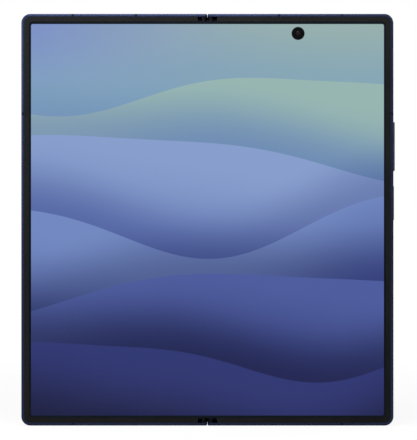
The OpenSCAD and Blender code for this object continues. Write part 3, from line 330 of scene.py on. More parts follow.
@cache
def dune_layer() -> Tree:
    """One soft dune of the wallpaper, laid over the colour behind it."""
    haze_above, crest_edge = 24 * MM, 0.1 * MM
    g = Group("dune_layer", {"Behind": GREY, "Place": ORIGIN, **Dune().feeds()}, {"Colour": SocketKind.COLOUR})
    given = g.inputs
    across, up, _ = g.parts(given["Place"])
    angle = g.rise(across, given["Stretch"], given["Shift"])
    wave = g.rise(g.math("SINE", g.rise(angle, 1.9, 1.3)), 0.3, g.math("SINE", angle))
    above = g.math("SUBTRACT", up, g.rise(wave, given["Swell"], given["Level"]))
    shade = g.times(g.between(above, haze_above, 0.0), given["Shade"])
    behind = g.mix(shade, given["Behind"], given["Foot"])
    below = g.math("DIVIDE", g.times(above, -1.0), given["Depth"])
    light = g.times(g.math("COSINE", g.rise(angle, 0.8, 0.6)), 0.16)
    dune = g.mix(g.between(g.math("ADD", below, light), 0.0, 1.0), given["Crest"], given["Foot"])
    return g.giving(Colour=g.mix(g.between(above, crest_edge, -crest_edge), behind, dune))


@cache
def wallpaper() -> Tree:
    """A plain wallpaper of soft dunes under a hazy sky, from a place across and up the screen."""
    g = Group("wallpaper", {"Place": ORIGIN}, {"Colour": SocketKind.COLOUR})
    across, up, _ = g.parts(g.inputs["Place"])
    sky = g.mix(g.between(g.rise(up, 0.35, across), -0.05, 0.10), srgb(118, 136, 200), srgb(150, 174, 170))
    colour = g.mix(g.between(up, 0.11, 0.16), srgb(132, 168, 186), sky)
    for dune in (
        Dune(0.128, 0.0070, 34.0, 0.4, srgb(150, 180, 174), srgb(112, 150, 180), 0.040, 0.30),
        Dune(0.104, 0.0095, 27.0, 2.6, srgb(134, 156, 202), srgb(92, 112, 176), 0.045, 0.45),
        Dune(0.078, 0.0110, 31.0, 4.9, srgb(112, 134, 190), srgb(62, 76, 142), 0.045, 0.50),
        Dune(0.051, 0.0090, 25.0, 0.9, srgb(76, 90, 156), srgb(38, 42, 98), 0.040, 0.55),
        Dune(0.026, 0.0075, 36.0, 3.4, srgb(46, 52, 112), srgb(22, 21, 60), 0.030, 0.60),
    ):
        feeds = {"Behind": colour, "Place": g.inputs["Place"], **dune.feeds()}
        colour = g.group(dune_layer(), feeds)["Colour"]
    return g.giving(Colour=colour)


def grain_at(g: Graph, place: Socket, grain: float, drift: float) -> Mapping[str, Socket]:
    """Gives the Height and Tone of a surface's grain, from the scales of the grain and of the drift."""
    return g.group(surface_grain(), {"Place": place, "Grain": grain, "Drift": drift})


def smear_at(g: Graph, place: Socket, amount: float) -> Socket:
    """Gives a share of the marks of handling."""
    return g.group(handling_marks(), {"Place": place, "Amount": amount})["Smear"]


def flat_place(g: Graph, place: Socket) -> Socket:
    """Gives a place across and up the phone, without its depth."""
    across, _, up = g.parts(place)
    return g.vector({0: across, 1: up})


def area_mask(
    g: Graph, place: Socket, middle: Point, half: Point, corner: float, edge: float = 0.04 * MM
) -> Socket:
    """Masks a rounded rectangle.

    Args:
        g: The node tree.
        place: The place across and up the phone.
        middle: The rectangle's middle.
        half: Half its width and height.
        corner: Its corners' radius.
        edge: How far its edge fades on either side.

    Returns:
        The mask, 1 inside.
    """
    sizes = {"Half width": half[0], "Half height": half[1], "Corner": corner, "Edge": edge}
    return g.group(rounded_area(), {"Place": place, "Middle": (*middle, 0.0), **sizes})["Mask"]


def bump(g: Graph, height: Feed, strength: float, depth: float) -> Socket:
    """Turns a height, 0 to 1, into a normal.

    Args:
        g: The node tree.
        height: The height.
        strength: The share of the effect.
        depth: How many metres a height of 1 stands for.

    Returns:
        The normal.
    """
    return g.out("ShaderNodeBump", {"Strength": strength, "Distance": depth, "Height": height})


# ---------------------------------------------------------------- finishes


@dataclass(frozen=True)
class Finish(ABC):
    """A finish of the phone, made into a material once.

    Attributes:
        name: The material's name.
        slot: The record's material slot that it stands for; nothing in the script reads it.
    """

    name: str
    slot: str

    @cache
    def material(self) -> bpy.types.Material:
        """Gives the finish's material, and makes it the first time."""
        made = bpy.data.materials.new(self.name)
        g = Graph.emptied(made)
        place = g.add("ShaderNodeTexCoord").outputs["Object"]
        shader = g.out("ShaderNodeBsdfPrincipled", self.paint(g, place))
        g.add("ShaderNodeOutputMaterial", {"Surface": shader})
        return made

    @abstractmethod
    def paint(self, g: Graph, place: Socket) -> Mapping[str, Feed]:
        """Makes what the shader needs.

        Args:
            g: The material's node tree.
            place: Object coordinates.

        Returns:
            The Principled shader's inputs by name.
        """


@dataclass(frozen=True)
class AnodisedMetal(Finish):
    """Bead-blasted and dyed aluminium, with a faint drift of tone."""

    base: Colour
    deep: Colour
    roughness: float = 0.36
    grain: float = 11000.0

    def paint(self, g: Graph, place: Socket) -> Mapping[str, Feed]:
        """Gives the shader's inputs."""
        grain = grain_at(g, place, self.grain, 38.0)
        rough = g.rise(grain["Height"], 0.12, self.roughness - 0.06)
        return {
            "Base Color": g.mix(grain["Tone"], self.base, self.deep),
            "Roughness": g.rise(smear_at(g, place, 0.5), 0.06, rough),
            "Metallic": 1.0,
            "Normal": bump(g, grain["Height"], 0.08, 0.004 * MM),
        }


@dataclass(frozen=True)
class MouldedPlastic(Finish):
    """Moulded plastic with a fine spark-eroded texture."""

    base: Colour
    roughness: float = 0.5
    shine: float = 0.25
    grain: float = 7000.0

    def paint(self, g: Graph, place: Socket) -> Mapping[str, Feed]:
        """Gives the shader's inputs."""
        grain = grain_at(g, place, self.grain, 80.0)
        pale = tuple(min(1.0, part * 1.18 + 0.0006) for part in self.base)
        return {
            "Base Color": g.mix(grain["Tone"], self.base, pale),
            "Roughness": g.rise(grain["Height"], 0.16, self.roughness - 0.08),
            "Specular IOR Level": self.shine,
            "Normal": bump(g, grain["Height"], 0.3, 0.02 * MM),
        }


@dataclass(frozen=True)
class SatinGlass(Finish):
    """Etched glass over a dyed film, so the colour has depth and the face a satin sheen."""

    base: Colour
    deep: Colour

    def paint(self, g: Graph, place: Socket) -> Mapping[str, Feed]:
        """Gives the shader's inputs."""
        grain = grain_at(g, place, 16000.0, 22.0)
        facing = g.add("ShaderNodeLayerWeight", {"Blend": 0.35}).outputs["Facing"]
        film = g.mix(g.times(grain["Tone"], 0.5), self.base, self.deep)
        return {
            "Base Color": g.mix(g.times(facing, 0.6), film, self.deep),
            "Metallic": 0.55,
            "Roughness": g.rise(smear_at(g, place, 0.8), 0.10, 0.34),
            "Coat Weight": 0.25,
            "Coat Roughness": 0.22,
            "Normal": bump(g, grain["Height"], 0.15, 0.006 * MM),
        }


@dataclass(frozen=True)
class GlossGlass(Finish):
    """Black-backed glass over a sleeping display, whose lit area is a shade lighter than its border."""

    border: Colour
    area: Colour
    middle: Point = (0.0, 0.0)
    half: Point = (10 * MM, 10 * MM)
    corner: float = 3 * MM
    marks: Colour = srgb(48, 50, 54)

    def paint(self, g: Graph, place: Socket) -> Mapping[str, Feed]:
        """Gives the shader's inputs."""
        mask = area_mask(g, flat_place(g, place), self.middle, self.half, self.corner)
        smear = smear_at(g, place, 1.0)
        return {
            "Base Color": g.mix(g.times(smear, 0.08), g.mix(mask, self.border, self.area), self.marks),
            "Roughness": g.rise(smear, 0.16, 0.045),
            "Specular IOR Level": 0.12,
        }


@dataclass(frozen=True)
class ClearGlass(Finish):
    """Polished clear glass with faint marks."""

    tint: Colour
    roughness: float
    index: float

    def paint(self, g: Graph, place: Socket) -> Mapping[str, Feed]:
        """Gives the shader's inputs."""
        smear = smear_at(g, place, 0.6)
        return {
            "Base Color": g.mix(smear, self.tint, tuple(0.93 * part for part in self.tint)),
            "Roughness": g.rise(smear, 0.05, self.roughness),
            "Transmission Weight": 1.0,
            "IOR": self.index,
        }


@dataclass(frozen=True)
class CoatedLens(Finish):
    """A dark lens whose colour turns to another towards its rim, a painted sheen for its coating's coloured
    reflection, and whose coating tints what it mirrors.
    """

    heart: Colour
    rim: Colour
    tint: Colour = WHITE
    shine: float = 0.22

    def paint(self, g: Graph, place: Socket) -> Mapping[str, Feed]:
        """Gives the shader's inputs."""
        facing = g.add("ShaderNodeLayerWeight", {"Blend": 0.45}).outputs["Facing"]
        ripple = g.noise(place, 700.0, 1.0)
        return {
            # The rim colour, mixed in by the facing angle, is a painted sheen that stands in for the coating's
            # coloured reflection.
            "Base Color": g.mix(g.rise(ripple, 0.25, facing, clamp=True), self.heart, self.rim),
            "Roughness": g.rise(ripple, 0.02, 0.02),
            "Specular IOR Level": self.shine,
            "Specular Tint": self.tint,
        }


class PlaceSource(Enum):
    """Where the screen's picture takes its place from."""

    OBJECT = "object coordinates"
    ATTRIBUTE = "rest_place"


@dataclass(frozen=True)
class LitScreen(Finish):
    """The inner display, lit over its active area, dark at its border, with a soft film on top."""

    source: PlaceSource
    border: Colour = srgb(9, 14, 20)
    marks: Colour = srgb(13, 18, 24)
    middle: Point = (0.03 * MM, 79.18 * MM)
    half: Point = (67.85 * MM, 75.27 * MM)
    corner: float = 0.7 * MM
    hole: Point = (34.88 * MM, 150.86 * MM)
    hole_radius: float = 2.51 * MM
    hole_edge: float = 0.06 * MM

    def paint(self, g: Graph, place: Socket) -> Mapping[str, Feed]:
        """Gives the shader's inputs."""
        if self.source is PlaceSource.OBJECT:
            flat = flat_place(g, place)
            _, turned, _ = g.parts(g.add("ShaderNodeTexCoord").outputs["Normal"])
            front = g.math("LESS_THAN", turned, -0.5)
        else:
            flat = g.add("ShaderNodeAttribute", attribute_name=self.source.value).outputs["Vector"]
            front = 1.0
        radius = self.hole_radius
        lit = area_mask(g, flat, self.middle, self.half, self.corner)
        blind = area_mask(g, flat, self.hole, (radius, radius), radius, self.hole_edge)
        mask = g.times(g.math("SUBTRACT", lit, blind, clamp=True), front)
        smear = smear_at(g, flat, 1.0)
        return {
            "Emission Color": g.mix(mask, BLACKNESS, g.group(wallpaper(), {"Place": flat})["Colour"]),
            "Emission Strength": 1.0,
            "Base Color": g.mix(smear, self.border, self.marks),
            "Roughness": g.rise(smear, 0.12, 0.10),
            "Specular IOR Level": 0.045,
        }


@dataclass(frozen=True)
class FlashDiffuser(Finish):
    """A milky flash lens over two square light-emitting dies."""

    base: Colour
    glow: Colour
    middle: Point
    half_die: float = 0.8 * MM
    die_corner: float = 0.2 * MM
    die_blur: float = 0.32 * MM
    gap: float = 1.05 * MM

    def paint(self, g: Graph, place: Socket) -> Mapping[str, Feed]:
        """Gives the shader's inputs."""
        flat, half = flat_place(g, place), (self.half_die, self.half_die)
        middles = [(self.middle[0], self.middle[1] + side * self.gap) for side in (-1.0, 1.0)]
        dies = [area_mask(g, flat, middle, half, self.die_corner, self.die_blur) for middle in middles]
        tone = grain_at(g, place, 5000.0, 300.0)["Tone"]
        return {
            "Base Color": g.mix(g.math("MAXIMUM", *dies), self.base, self.glow),
            "Roughness": g.rise(tone, 0.1, 0.22),
            "Coat Weight": 0.5,
        }


@dataclass(frozen=True)
class BrushedMetal(Finish):
    """Steel, nickel or bronze with fine drawn lines."""

    base: Colour
    pale: Colour
    roughness: float = 0.3
    lines: Place = (6000.0, 6000.0, 240.0)

    def paint(self, g: Graph, place: Socket) -> Mapping[str, Feed]:
        """Gives the shader's inputs."""
        lines = g.group(brushing(), {"Place": place, "Lines": self.lines})
        rough = g.rise(lines["Height"], 0.14, self.roughness - 0.07)
        return {
            "Base Color": g.mix(lines["Shade"], self.base, self.pale),
            "Roughness": g.rise(smear_at(g, place, 0.6), 0.08, rough),
            "Metallic": 1.0,
            "Normal": bump(g, lines["Height"], 0.2, 0.01 * MM),
        }


@dataclass(frozen=True)
class SolderMask(Finish):
    """A circuit board: varnish over buried copper tracks, with small bare pads."""

    base: Colour
    track: Colour
    pad: Colour

    def paint(self, g: Graph, place: Socket) -> Mapping[str, Feed]:
        """Gives the shader's inputs."""
        voronoi = "ShaderNodeTexVoronoi"
        feeds = {"Vector": place, "Scale": 420.0, "Randomness": 0.35}
        cells = g.add(voronoi, feeds, feature="F1", distance="CHEBYCHEV").outputs["Distance"]
        tracks = g.between(g.math("PINGPONG", cells, 0.09), 0.05, 0.065)
        dots = g.add(voronoi, {"Vector": place, "Scale": 900.0, "Randomness": 0.6}).outputs["Distance"]
        pads = g.between(dots, 0.20, 0.16)
        varnish = g.mix(g.times(tracks, 0.7), self.base, self.track)
        return {
            "Base Color": g.mix(pads, varnish, self.pad),
            "Metallic": g.times(pads, 0.9),
            "Roughness": g.rise(pads, -0.08, 0.36),
            "Normal": bump(g, g.math("MAXIMUM", tracks, pads), 0.4, 0.03 * MM),
        }


@dataclass(frozen=True)
class PouchFoil(Finish):
    """The wrinkled laminate foil round a battery's cell."""

    base: Colour
    pale: Colour

    def paint(self, g: Graph, place: Socket) -> Mapping[str, Feed]:
        """Gives the shader's inputs."""
        wrinkle = g.math("PINGPONG", g.noise(place, 130.0, 5.0), 0.5)
        return {
            "Base Color": g.mix(grain_at(g, place, 5200.0, 30.0)["Tone"], self.base, self.pale),
            "Metallic": 0.8,
            "Roughness": g.rise(wrinkle, 0.25, 0.32),
            "Normal": bump(g, wrinkle, 0.35, 0.3 * MM),
        }


@dataclass(frozen=True)
class WoundCopper(Finish):
    """Enamelled copper wire, wound flat in turns about a middle."""

    base: Colour
    gap: Colour
    middle: Point
    pitch: float = 0.32 * MM

    def paint(self, g: Graph, place: Socket) -> Mapping[str, Feed]:
        """Gives the shader's inputs."""
        across, _, up = g.parts(place)
        away = [g.math("SUBTRACT", part, middle) for part, middle in zip((across, up), self.middle)]
        turns = g.math("DIVIDE", g.length(*away), self.pitch)
        wire = g.math("ABSOLUTE", g.math("SINE", g.times(turns, math.pi)))
        tone = g.noise(place, 90.0, 3.0)
        lit = g.mix(tone, self.base, tuple(min(1.0, part * 1.25) for part in self.base))
        return {
            "Base Color": g.mix(g.between(wire, 0.1, 0.5), self.gap, lit),
            "Metallic": 0.9,
            "Roughness": g.rise(tone, 0.12, 0.24),
            "Normal": bump(g, wire, 0.8, 0.12 * MM),
        }


FLASH_MIDDLE: Point = (44.25 * MM, 137.7 * MM)

NAVY = AnodisedMetal("anodised_navy", "navy_metal", srgb(34, 42, 65), srgb(31, 37, 59))
SPINE = AnodisedMetal("polished_spine", "spine_metal", srgb(42, 49, 80), srgb(37, 43, 72), 0.24)
RING = AnodisedMetal("turned_lens_rings", "steel", srgb(92, 98, 128), srgb(80, 86, 118), 0.22)
ANTENNA = MouldedPlastic("antenna_break", "antenna_plastic", srgb(8, 11, 32), 0.5, 0.04)
TRIM = MouldedPlastic("display_trim", "trim_plastic", srgb(13, 13, 13), 0.55, 0.05)
BLACK = MouldedPlastic("black_nylon", "black_plastic", srgb(20, 20, 22), 0.5, 0.25)
BARREL = MouldedPlastic("lens_barrel", "black_plastic", srgb(4, 4, 5), 0.42, 0.02, 12000.0)
CAP = MouldedPlastic("hinge_cap", "black_plastic", srgb(11, 11, 12), 0.5, 0.04)
BACK = SatinGlass("etched_back_glass", "back_glass", srgb(52, 62, 104), srgb(30, 38, 74))
COVER = GlossGlass(
    "cover_display_glass", "cover_glass", srgb(3, 3, 4), srgb(8, 9, 11),
    (-36.9 * MM, 79.2 * MM), (31.2 * MM, 75.8 * MM),
)
SLEEPING = GlossGlass("sleeping_panel", "cover_display", srgb(5, 5, 6), srgb(9, 10, 12))
LENS_COVER = ClearGlass("lens_cover_glass", "lens_glass", srgb(244, 247, 250), 0.01, 1.08)
SCREEN = LitScreen("inner_screen", "display", PlaceSource.OBJECT)
BENDING_SCREEN = LitScreen("inner_screen_bending", "display", PlaceSource.ATTRIBUTE)
SCREEN_EDGE = MouldedPlastic("screen_edge", "display", srgb(12, 13, 15), 0.35, 0.2)
STEEL = BrushedMetal("rolled_steel", "steel", srgb(150, 152, 158), srgb(182, 184, 190))
# Dark bluish steel. On the hinge's gears, pins and idlers this darkness is partly painted shade, standing in
# for the rim's shadow over the hinge's recess.
DARK_STEEL_AND_SHADE = BrushedMetal("blackened_steel_and_painted_shade", "steel", srgb(13, 14, 19), srgb(20, 21, 28), 0.46)
TIN = BrushedMetal("tin_plate", "steel", srgb(168, 170, 172), srgb(190, 192, 194), 0.34, (900.0, 900.0, 2400.0))
NICKEL = BrushedMetal("nickel_plate", "steel", srgb(176, 172, 162), srgb(196, 192, 182), 0.2)
BRONZE = BrushedMetal("spring_bronze", "copper", srgb(186, 132, 84), srgb(206, 152, 102), 0.28)
GOLD = BrushedMetal("gold_contact", "copper", srgb(212, 168, 88), srgb(228, 188, 108), 0.22)
BOARD = SolderMask("solder_mask", "board", srgb(16, 62, 50), srgb(24, 84, 66), srgb(214, 180, 106))
FOIL = PouchFoil("cell_pouch", "cell_foil", srgb(66, 67, 72), srgb(84, 85, 90))
COIL = WoundCopper(
    "charging_coil", "copper", srgb(196, 118, 72), srgb(60, 32, 20), middle_of(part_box("wireless_coil"))
)
DIFFUSER = FlashDiffuser(
    "flash_diffuser", "flash_plastic", srgb(230, 226, 210), srgb(226, 200, 122), FLASH_MIDDLE
)
# Its rim colour is a painted sheen; its tint tints the real reflections.
COVER_COAT = CoatedLens(
    "cover_camera_coating", "lens_glass", srgb(5, 6, 12), srgb(26, 22, 46), srgb(120, 110, 200), 0.15
)
INNER_COAT = CoatedLens("inner_camera_coating", "lens_glass", srgb(20, 14, 15), srgb(13, 11, 14), shine=0.08)


# ---------------------------------------------------------------- meshes


class Facing(Enum):
    """How a piece made flat, its top up, is turned into its place."""

    BACK = Matrix(((-1, 0, 0, 0), (0, 0, 1, 0), (0, 1, 0, 0), (0, 0, 0, 1)))
    FRONT = Matrix(((1, 0, 0, 0), (0, 0, -1, 0), (0, 1, 0, 0), (0, 0, 0, 1)))
    UP = Matrix.Identity(4)


def link(name: str, data: bpy.types.ID) -> Piece:
    """Puts a mesh, lamp or camera into the scene under a name."""
    piece = bpy.data.objects.new(name, data)
    bpy.context.scene.collection.objects.link(piece)
    return piece


def mount(mesh: Mesh, body: str, finish: Finish, facing: Facing, place: Sequence[float]) -> Piece:
    """Turns a mesh into its place on the phone and lets it ride on a body.

    Args:
        mesh: The mesh, made about the origin with its top up.
        body: The body that carries it.
        finish: Its finish, which it gets if it has none.
        facing: The way that its top faces.
        place: Where its origin goes.

    Returns:
        The piece, riding on its body.
    """
    mesh.transform(Matrix.Translation(place) @ facing.value)
    mesh.update()
    if len(mesh.materials) == 0:
        mesh.materials.append(finish.material())
    piece = link(mesh.name, mesh)
    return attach(piece, body)


def smooth(mesh: Mesh, degrees: float = 32.0) -> None:
    """Shades a mesh smooth apart from its sharp edges."""
    mesh.shade_smooth()
    mesh.set_sharp_from_angle(angle=math.radians(degrees))


def closed_mesh(name: str, made: bmesh.types.BMesh) -> Mesh:
    """Makes a smooth mesh of a closed bmesh, and frees the bmesh."""
    mesh = bpy.data.meshes.new(name)
    made.to_mesh(mesh)
    made.free()
    smooth(mesh)
    return mesh


def lathe(name: str, outline: Sequence[Point], steps: int = 64) -> Mesh:
    """Turns a closed solid about the z axis.

    Args:
        name: The mesh's name.
        outline: Radius and height of each point; points of radius 0 become poles.
        steps: How many segments go round.

    Returns:
        The mesh, with its faces outwards.
    """
    made = bmesh.new()
    rings: list[list[bmesh.types.BMVert]] = []
    angles = [2 * math.pi * step / steps for step in range(steps)]
    for radius, height in outline:
        turned = angles if radius > 0 else [0.0]
        rings.append([made.verts.new((radius * math.cos(a), radius * math.sin(a), height)) for a in turned])
    closed = outline[0][0] > 0
    pairs = list(zip(rings, rings[1:])) + ([(rings[-1], rings[0])] if closed else [])
    for (low, high), step in product(pairs, range(steps)):
        after = (step + 1) % steps
        corners = [low[step % len(low)], low[after % len(low)], high[after % len(high)], high[step % len(high)]]
        made.faces.new(dict.fromkeys(corners))
    bmesh.ops.recalc_face_normals(made, faces=made.faces)
    return closed_mesh(name, made)


# ---------------------------------------------------------------- repeated shapes


class ShapeGroup(Group):
    """A Geometry Nodes tree whose last input is the finish and whose output is the shape."""

    def __init__(self, name: str, inputs: Mapping[str, object]) -> None:
        """Makes the tree and its sockets."""
        super().__init__(name, {**inputs, "Finish": None}, {"Shape": SocketKind.SHAPE}, "GeometryNodeTree")

    def circle(self, resolution: int, radius: Feed) -> Socket:
        """Adds a circle."""
        return self.out("GeometryNodeCurvePrimitiveCircle", {"Resolution": resolution, "Radius": radius})

    def placed_on(self, points: Socket, shape: Socket, **feeds: Feed) -> Socket:
        """Puts a copy of a shape on each point."""
        return self.out("GeometryNodeInstanceOnPoints", {"Points": points, "Instance": shape, **feeds})

    def real(self, shape: Socket) -> Socket:
        """Turns copies into geometry."""
        return self.out("GeometryNodeRealizeInstances", {0: shape})

    def moved(self, shape: Socket, height: Feed) -> Socket:
        """Moves each point of a shape up."""
        return self.out("GeometryNodeSetPosition", {"Geometry": shape, "Offset": self.vector({2: height})})

    def first_of(self, count: Feed, pitch: Feed) -> Socket:
        """Gives where a row of a count at a pitch, centred on the origin, starts."""
        return self.times(self.math("SUBTRACT", count, 1.0), self.times(pitch, -0.5))

    def finished(self, shape: Socket) -> Tree:
        """Ends the tree in real geometry with its material."""
        feeds = {"Geometry": self.real(shape), "Material": self.inputs["Finish"]}
        return self.giving(Shape=self.out("GeometryNodeSetMaterial", feeds))


@cache
def stacked_rings() -> Tree:
    """Round wire rings that go down a cone, or lie in a plane when the depth is 0."""
    sizes = {"Rings": 6, "Outer": 4 * MM, "Inner": 2 * MM, "Depth": MM, "Wire": 0.05 * MM}
    g = ShapeGroup("stacked_rings", sizes)
    given = g.inputs
    points = g.out("GeometryNodePoints", {"Count": given["Rings"]})
    share = g.math("DIVIDE", g.out("GeometryNodeInputIndex"), g.math("SUBTRACT", given["Rings"], 1.0))
    placed = g.moved(points, g.times(g.times(share, given["Depth"]), -1.0))
    radius = g.rise(share, g.math("SUBTRACT", given["Inner"], given["Outer"]), given["Outer"])
    rings = g.placed_on(placed, g.circle(64, 1.0), Scale=g.vector({0: radius, 1: radius, 2: 1.0}))
    feeds = {"Curve": g.real(rings), "Profile Curve": g.circle(8, given["Wire"])}
    return g.finished(g.out("GeometryNodeCurveToMesh", feeds))


@cache
def woven_cloth() -> Tree:
    """A plain weave of round wires in the xy plane, centred on the origin."""
    g = ShapeGroup("woven_cloth", {"Width": 11 * MM, "Height": 2 * MM, "Pitch": 0.2 * MM, "Wire": 0.04 * MM})
    given = g.inputs
    x, y, _ = g.parts(g.out("GeometryNodeInputPosition"))
    waves = [g.math("SINE", g.times(g.math("DIVIDE", part, given["Pitch"]), math.pi)) for part in (x, y)]
    wave = g.times(*waves)
    joined = g.add("GeometryNodeJoinGeometry")
    steps_per_crossing = 4.0
    for axis, along, across, sign in ((0, "Width", "Height", 1.0), (1, "Height", "Width", -1.0)):
        wires = g.math("FLOOR", g.math("DIVIDE", given[across], given["Pitch"]))
        half = g.times(given[along], 0.5)
        ends = {"Start": g.vector({axis: g.times(half, -1.0)}), "End": g.vector({axis: half})}
        steps = g.times(g.math("DIVIDE", given[along], given["Pitch"]), steps_per_crossing)
        line = g.out("GeometryNodeCurvePrimitiveLine", ends)
        wavy = g.out("GeometryNodeResampleCurve", {"Curve": line, "Count": steps})
        start = g.vector({1 - axis: g.first_of(wires, given["Pitch"])})
        feeds = {"Count": wires, "Start Location": start, "Offset": g.vector({1 - axis: given["Pitch"]})}
        laid = g.real(g.placed_on(g.out("GeometryNodeMeshLine", feeds), wavy))
        g.feed(joined.inputs[0], g.moved(laid, g.times(g.times(wave, given["Wire"]), sign)))
    feeds = {"Curve": joined.outputs[0], "Profile Curve": g.circle(6, given["Wire"]), "Fill Caps": True}
    return g.finished(g.out("GeometryNodeCurveToMesh", feeds))


@cache
def bar_row() -> Tree:
    """A row of small bars along x, centred on the origin."""
    g = ShapeGroup("bar_row", {"Bars": 12, "Pitch": 0.5 * MM, "Bar": (0.3 * MM, 2 * MM, 0.02 * MM)})
    given = g.inputs
    start = g.vector({0: g.first_of(given["Bars"], given["Pitch"])})
    feeds = {"Count": given["Bars"], "Start Location": start, "Offset": g.vector({0: given["Pitch"]})}
    bar = g.out("GeometryNodeMeshCube", {"Size": given["Bar"]})
    return g.finished(g.placed_on(g.out("GeometryNodeMeshLine", feeds), bar))


def grow(name: str, tree: Tree, sizes: Mapping[str, object], finish: Finish) -> Mesh:
    """Runs a Geometry Nodes tree and keeps what it makes as a plain mesh.

    Args:
        name: The mesh's name.
        tree: The tree.
        sizes: The tree's inputs by name.
        finish: The finish that the tree sets.

    Returns:
        The mesh, with its material.
    """
    holder = link(f"{name}_maker", bpy.data.meshes.new(f"{name}_maker"))
    modifier = holder.modifiers.new(name, "NODES")
    modifier.node_group = tree
    for label, value in {**sizes, "Finish": finish.material()}.items():
        modifier[tree.interface.items_tree[label].identifier] = value
    depsgraph = bpy.context.evaluated_depsgraph_get()
    mesh = bpy.data.meshes.new_from_object(holder.evaluated_get(depsgraph), depsgraph=depsgraph)
    mesh.name = name
    holder.modifiers.clear()
    bpy.data.objects.remove(holder)
    smooth(mesh, 50.0)
    return mesh


# ---------------------------------------------------------------- sub-assemblies


class Assembly:
    """A sub-assembly of the phone.

    Attributes:
        finishes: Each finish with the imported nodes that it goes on.
    """

    finishes: Sequence[tuple[Finish, str]] = ()

    def build(self) -> list[Piece]:
        """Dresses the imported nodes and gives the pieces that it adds."""
        for finish, nodes in self.finishes:
            for node in nodes.split():
                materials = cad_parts[node].data.materials
                materials.clear()
                materials.append(finish.material())
        return self.pieces()

    def pieces(self) -> list[Piece]:
        """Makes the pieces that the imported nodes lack."""
        return []


class Shell(Assembly):
    """The frames, backs, trims, keys and card tray."""

    finishes = (
        (NAVY, "right_frame left_frame volume_key side_key card_tray camera_island"),
        (ANTENNA, "right_antenna_bands left_antenna_bands"),
        (TRIM, "right_display_trim left_display_trim"),
        (BACK, "rear_glass"),
        (COVER, "cover_glass"),
        (SLEEPING, "cover_display_panel"),
    )


class Hinge(Assembly):
    """The spine, its gears, rails and pins."""

    finishes = (
        (SPINE, "hinge_cover"),
        (CAP, "hinge_end_caps"),
        # The gears, pins and idlers take the dark steel, whose darkness here is partly painted shade in the
        # hinge's recess.
        (DARK_STEEL_AND_SHADE, "right_sector_gears left_sector_gears hinge_pins"),
        (DARK_STEEL_AND_SHADE, "lower_left_idler lower_right_idler upper_left_idler upper_right_idler"),
        (STEEL, "hinge_brackets right_hinge_rails left_hinge_rails right_wing_plate left_wing_plate"),
        (NICKEL, "bracket_screws right_hinge_screws left_hinge_screws"),
    )


class Insides(Assembly):
    """Boards, batteries, coil, magnets and switches."""

    finishes = (
        (COIL, "wireless_coil"),
        (BOARD, "main_board sub_board left_boards"),
        (TIN, "board_shields card_reader usb_port"),
        (FOIL, "right_battery left_battery"),
        (NICKEL, "vibration_motor right_magnets left_magnets right_board_screws left_board_screws"),
        (BRONZE, "key_switches"),
        (BLACK, "bottom_speaker top_speaker usb_tongue"),
    )


@dataclass
class InnerDisplay(Assembly):
    """The lit display: a flat panel on either half and, between them, the sheet that bends.

    The sheet is one slab for each half.
    """

    finishes = ((SCREEN, "display_right_panel display_left_panel"),)

    reach: float = 9.625 * MM
    front: float = 3.95 * MM
    back: float = 3.40 * MM
    low: float = 2.95 * MM
    high: float = 155.45 * MM
    bend_start: float = 0.6 * MM
    bend_end: float = 3.2 * MM
    crease: float = 0.05 * MM
    crease_width: float = 1.7 * MM
    columns: int = 64
    rows: int = 6

    def pieces(self) -> list[Piece]:
        """Makes both halves of the sheet."""
        return [self.sheet("right", 1.0), self.sheet("left", -1.0)]

    def slab(self, name: str, sign: float) -> Mesh:
        """Makes the slab of one half, with its front in the screen's finish and the rest in the edge's.

        Args:
            name: The mesh's name.
            sign: 1 to the right of the fold, -1 to the left.

        Returns:
            The mesh, which keeps each point's place at rest.
        """
        made = bmesh.new()
        grid: dict[tuple[int, int, bool], bmesh.types.BMVert] = {}
        for column, row in product(range(self.columns + 1), range(self.rows + 1)):
            x = self.reach * column / self.columns
            z = self.low + (self.high - self.low) * row / self.rows
            dip = self.crease * math.exp(-((x / self.crease_width) ** 2))
            grid[column, row, True] = made.verts.new((sign * x, dip - self.front, z))
            grid[column, row, False] = made.verts.new((sign * x, -self.back, z))
        square = ((0, 0), (1, 0), (1, 1), (0, 1))
        for column, row, face in product(range(self.columns), range(self.rows), (True, False)):
            made.faces.new([grid[column + c, row + r, face] for c, r in square])
        side = ((0, True), (1, True), (1, False), (0, False))
        for row, column in product(range(self.rows), (0, self.columns)):
            made.faces.new([grid[column, row + r, face] for r, face in side])
        for column, row in product(range(self.columns), (0, self.rows)):
            made.faces.new([grid[column + c, row, face] for c, face in side])
        bmesh.ops.recalc_face_normals(made, faces=made.faces)
        for face in made.faces:
            face.material_index = 0 if face.normal.y < -0.9 else 1
        mesh = closed_mesh(name, made)
        for finish in (BENDING_SCREEN, SCREEN_EDGE):
            mesh.materials.append(finish.material())
        place = mesh.attributes.new(PlaceSource.ATTRIBUTE.value, "FLOAT_VECTOR", "POINT")
        for vertex, row in zip(mesh.vertices, place.data):
            row.vector = (vertex.co.x, vertex.co.z, 0.0)
        return mesh

    def sheet(self, side: str, sign: float) -> Piece:
        """Makes one half of the bending sheet.

        Args:
            side: The half's name.
            sign: 1 to the right of the fold, -1 to the left.

        Returns:
            The piece, with its place baked into its mesh.
        """
        name = f"{side}_folding_screen"
        piece = link(name, self.slab(name, sign))
        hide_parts("display_fold_strip")
        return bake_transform(piece)


@dataclass(frozen=True)
class LensSet:
    """One rear camera: where it is, its cone, and its coating."""

    name: str
    height: float
    mouth: float
    stop: float
    depth: float
    rings: int
    heart: Colour
    rim: Colour
    tint: Colour

    @property
    def coat(self) -> CoatedLens:
        """The coating of its lenses."""
        return CoatedLens(f"{self.name}_coating", "lens_glass", self.heart, self.rim, self.tint)


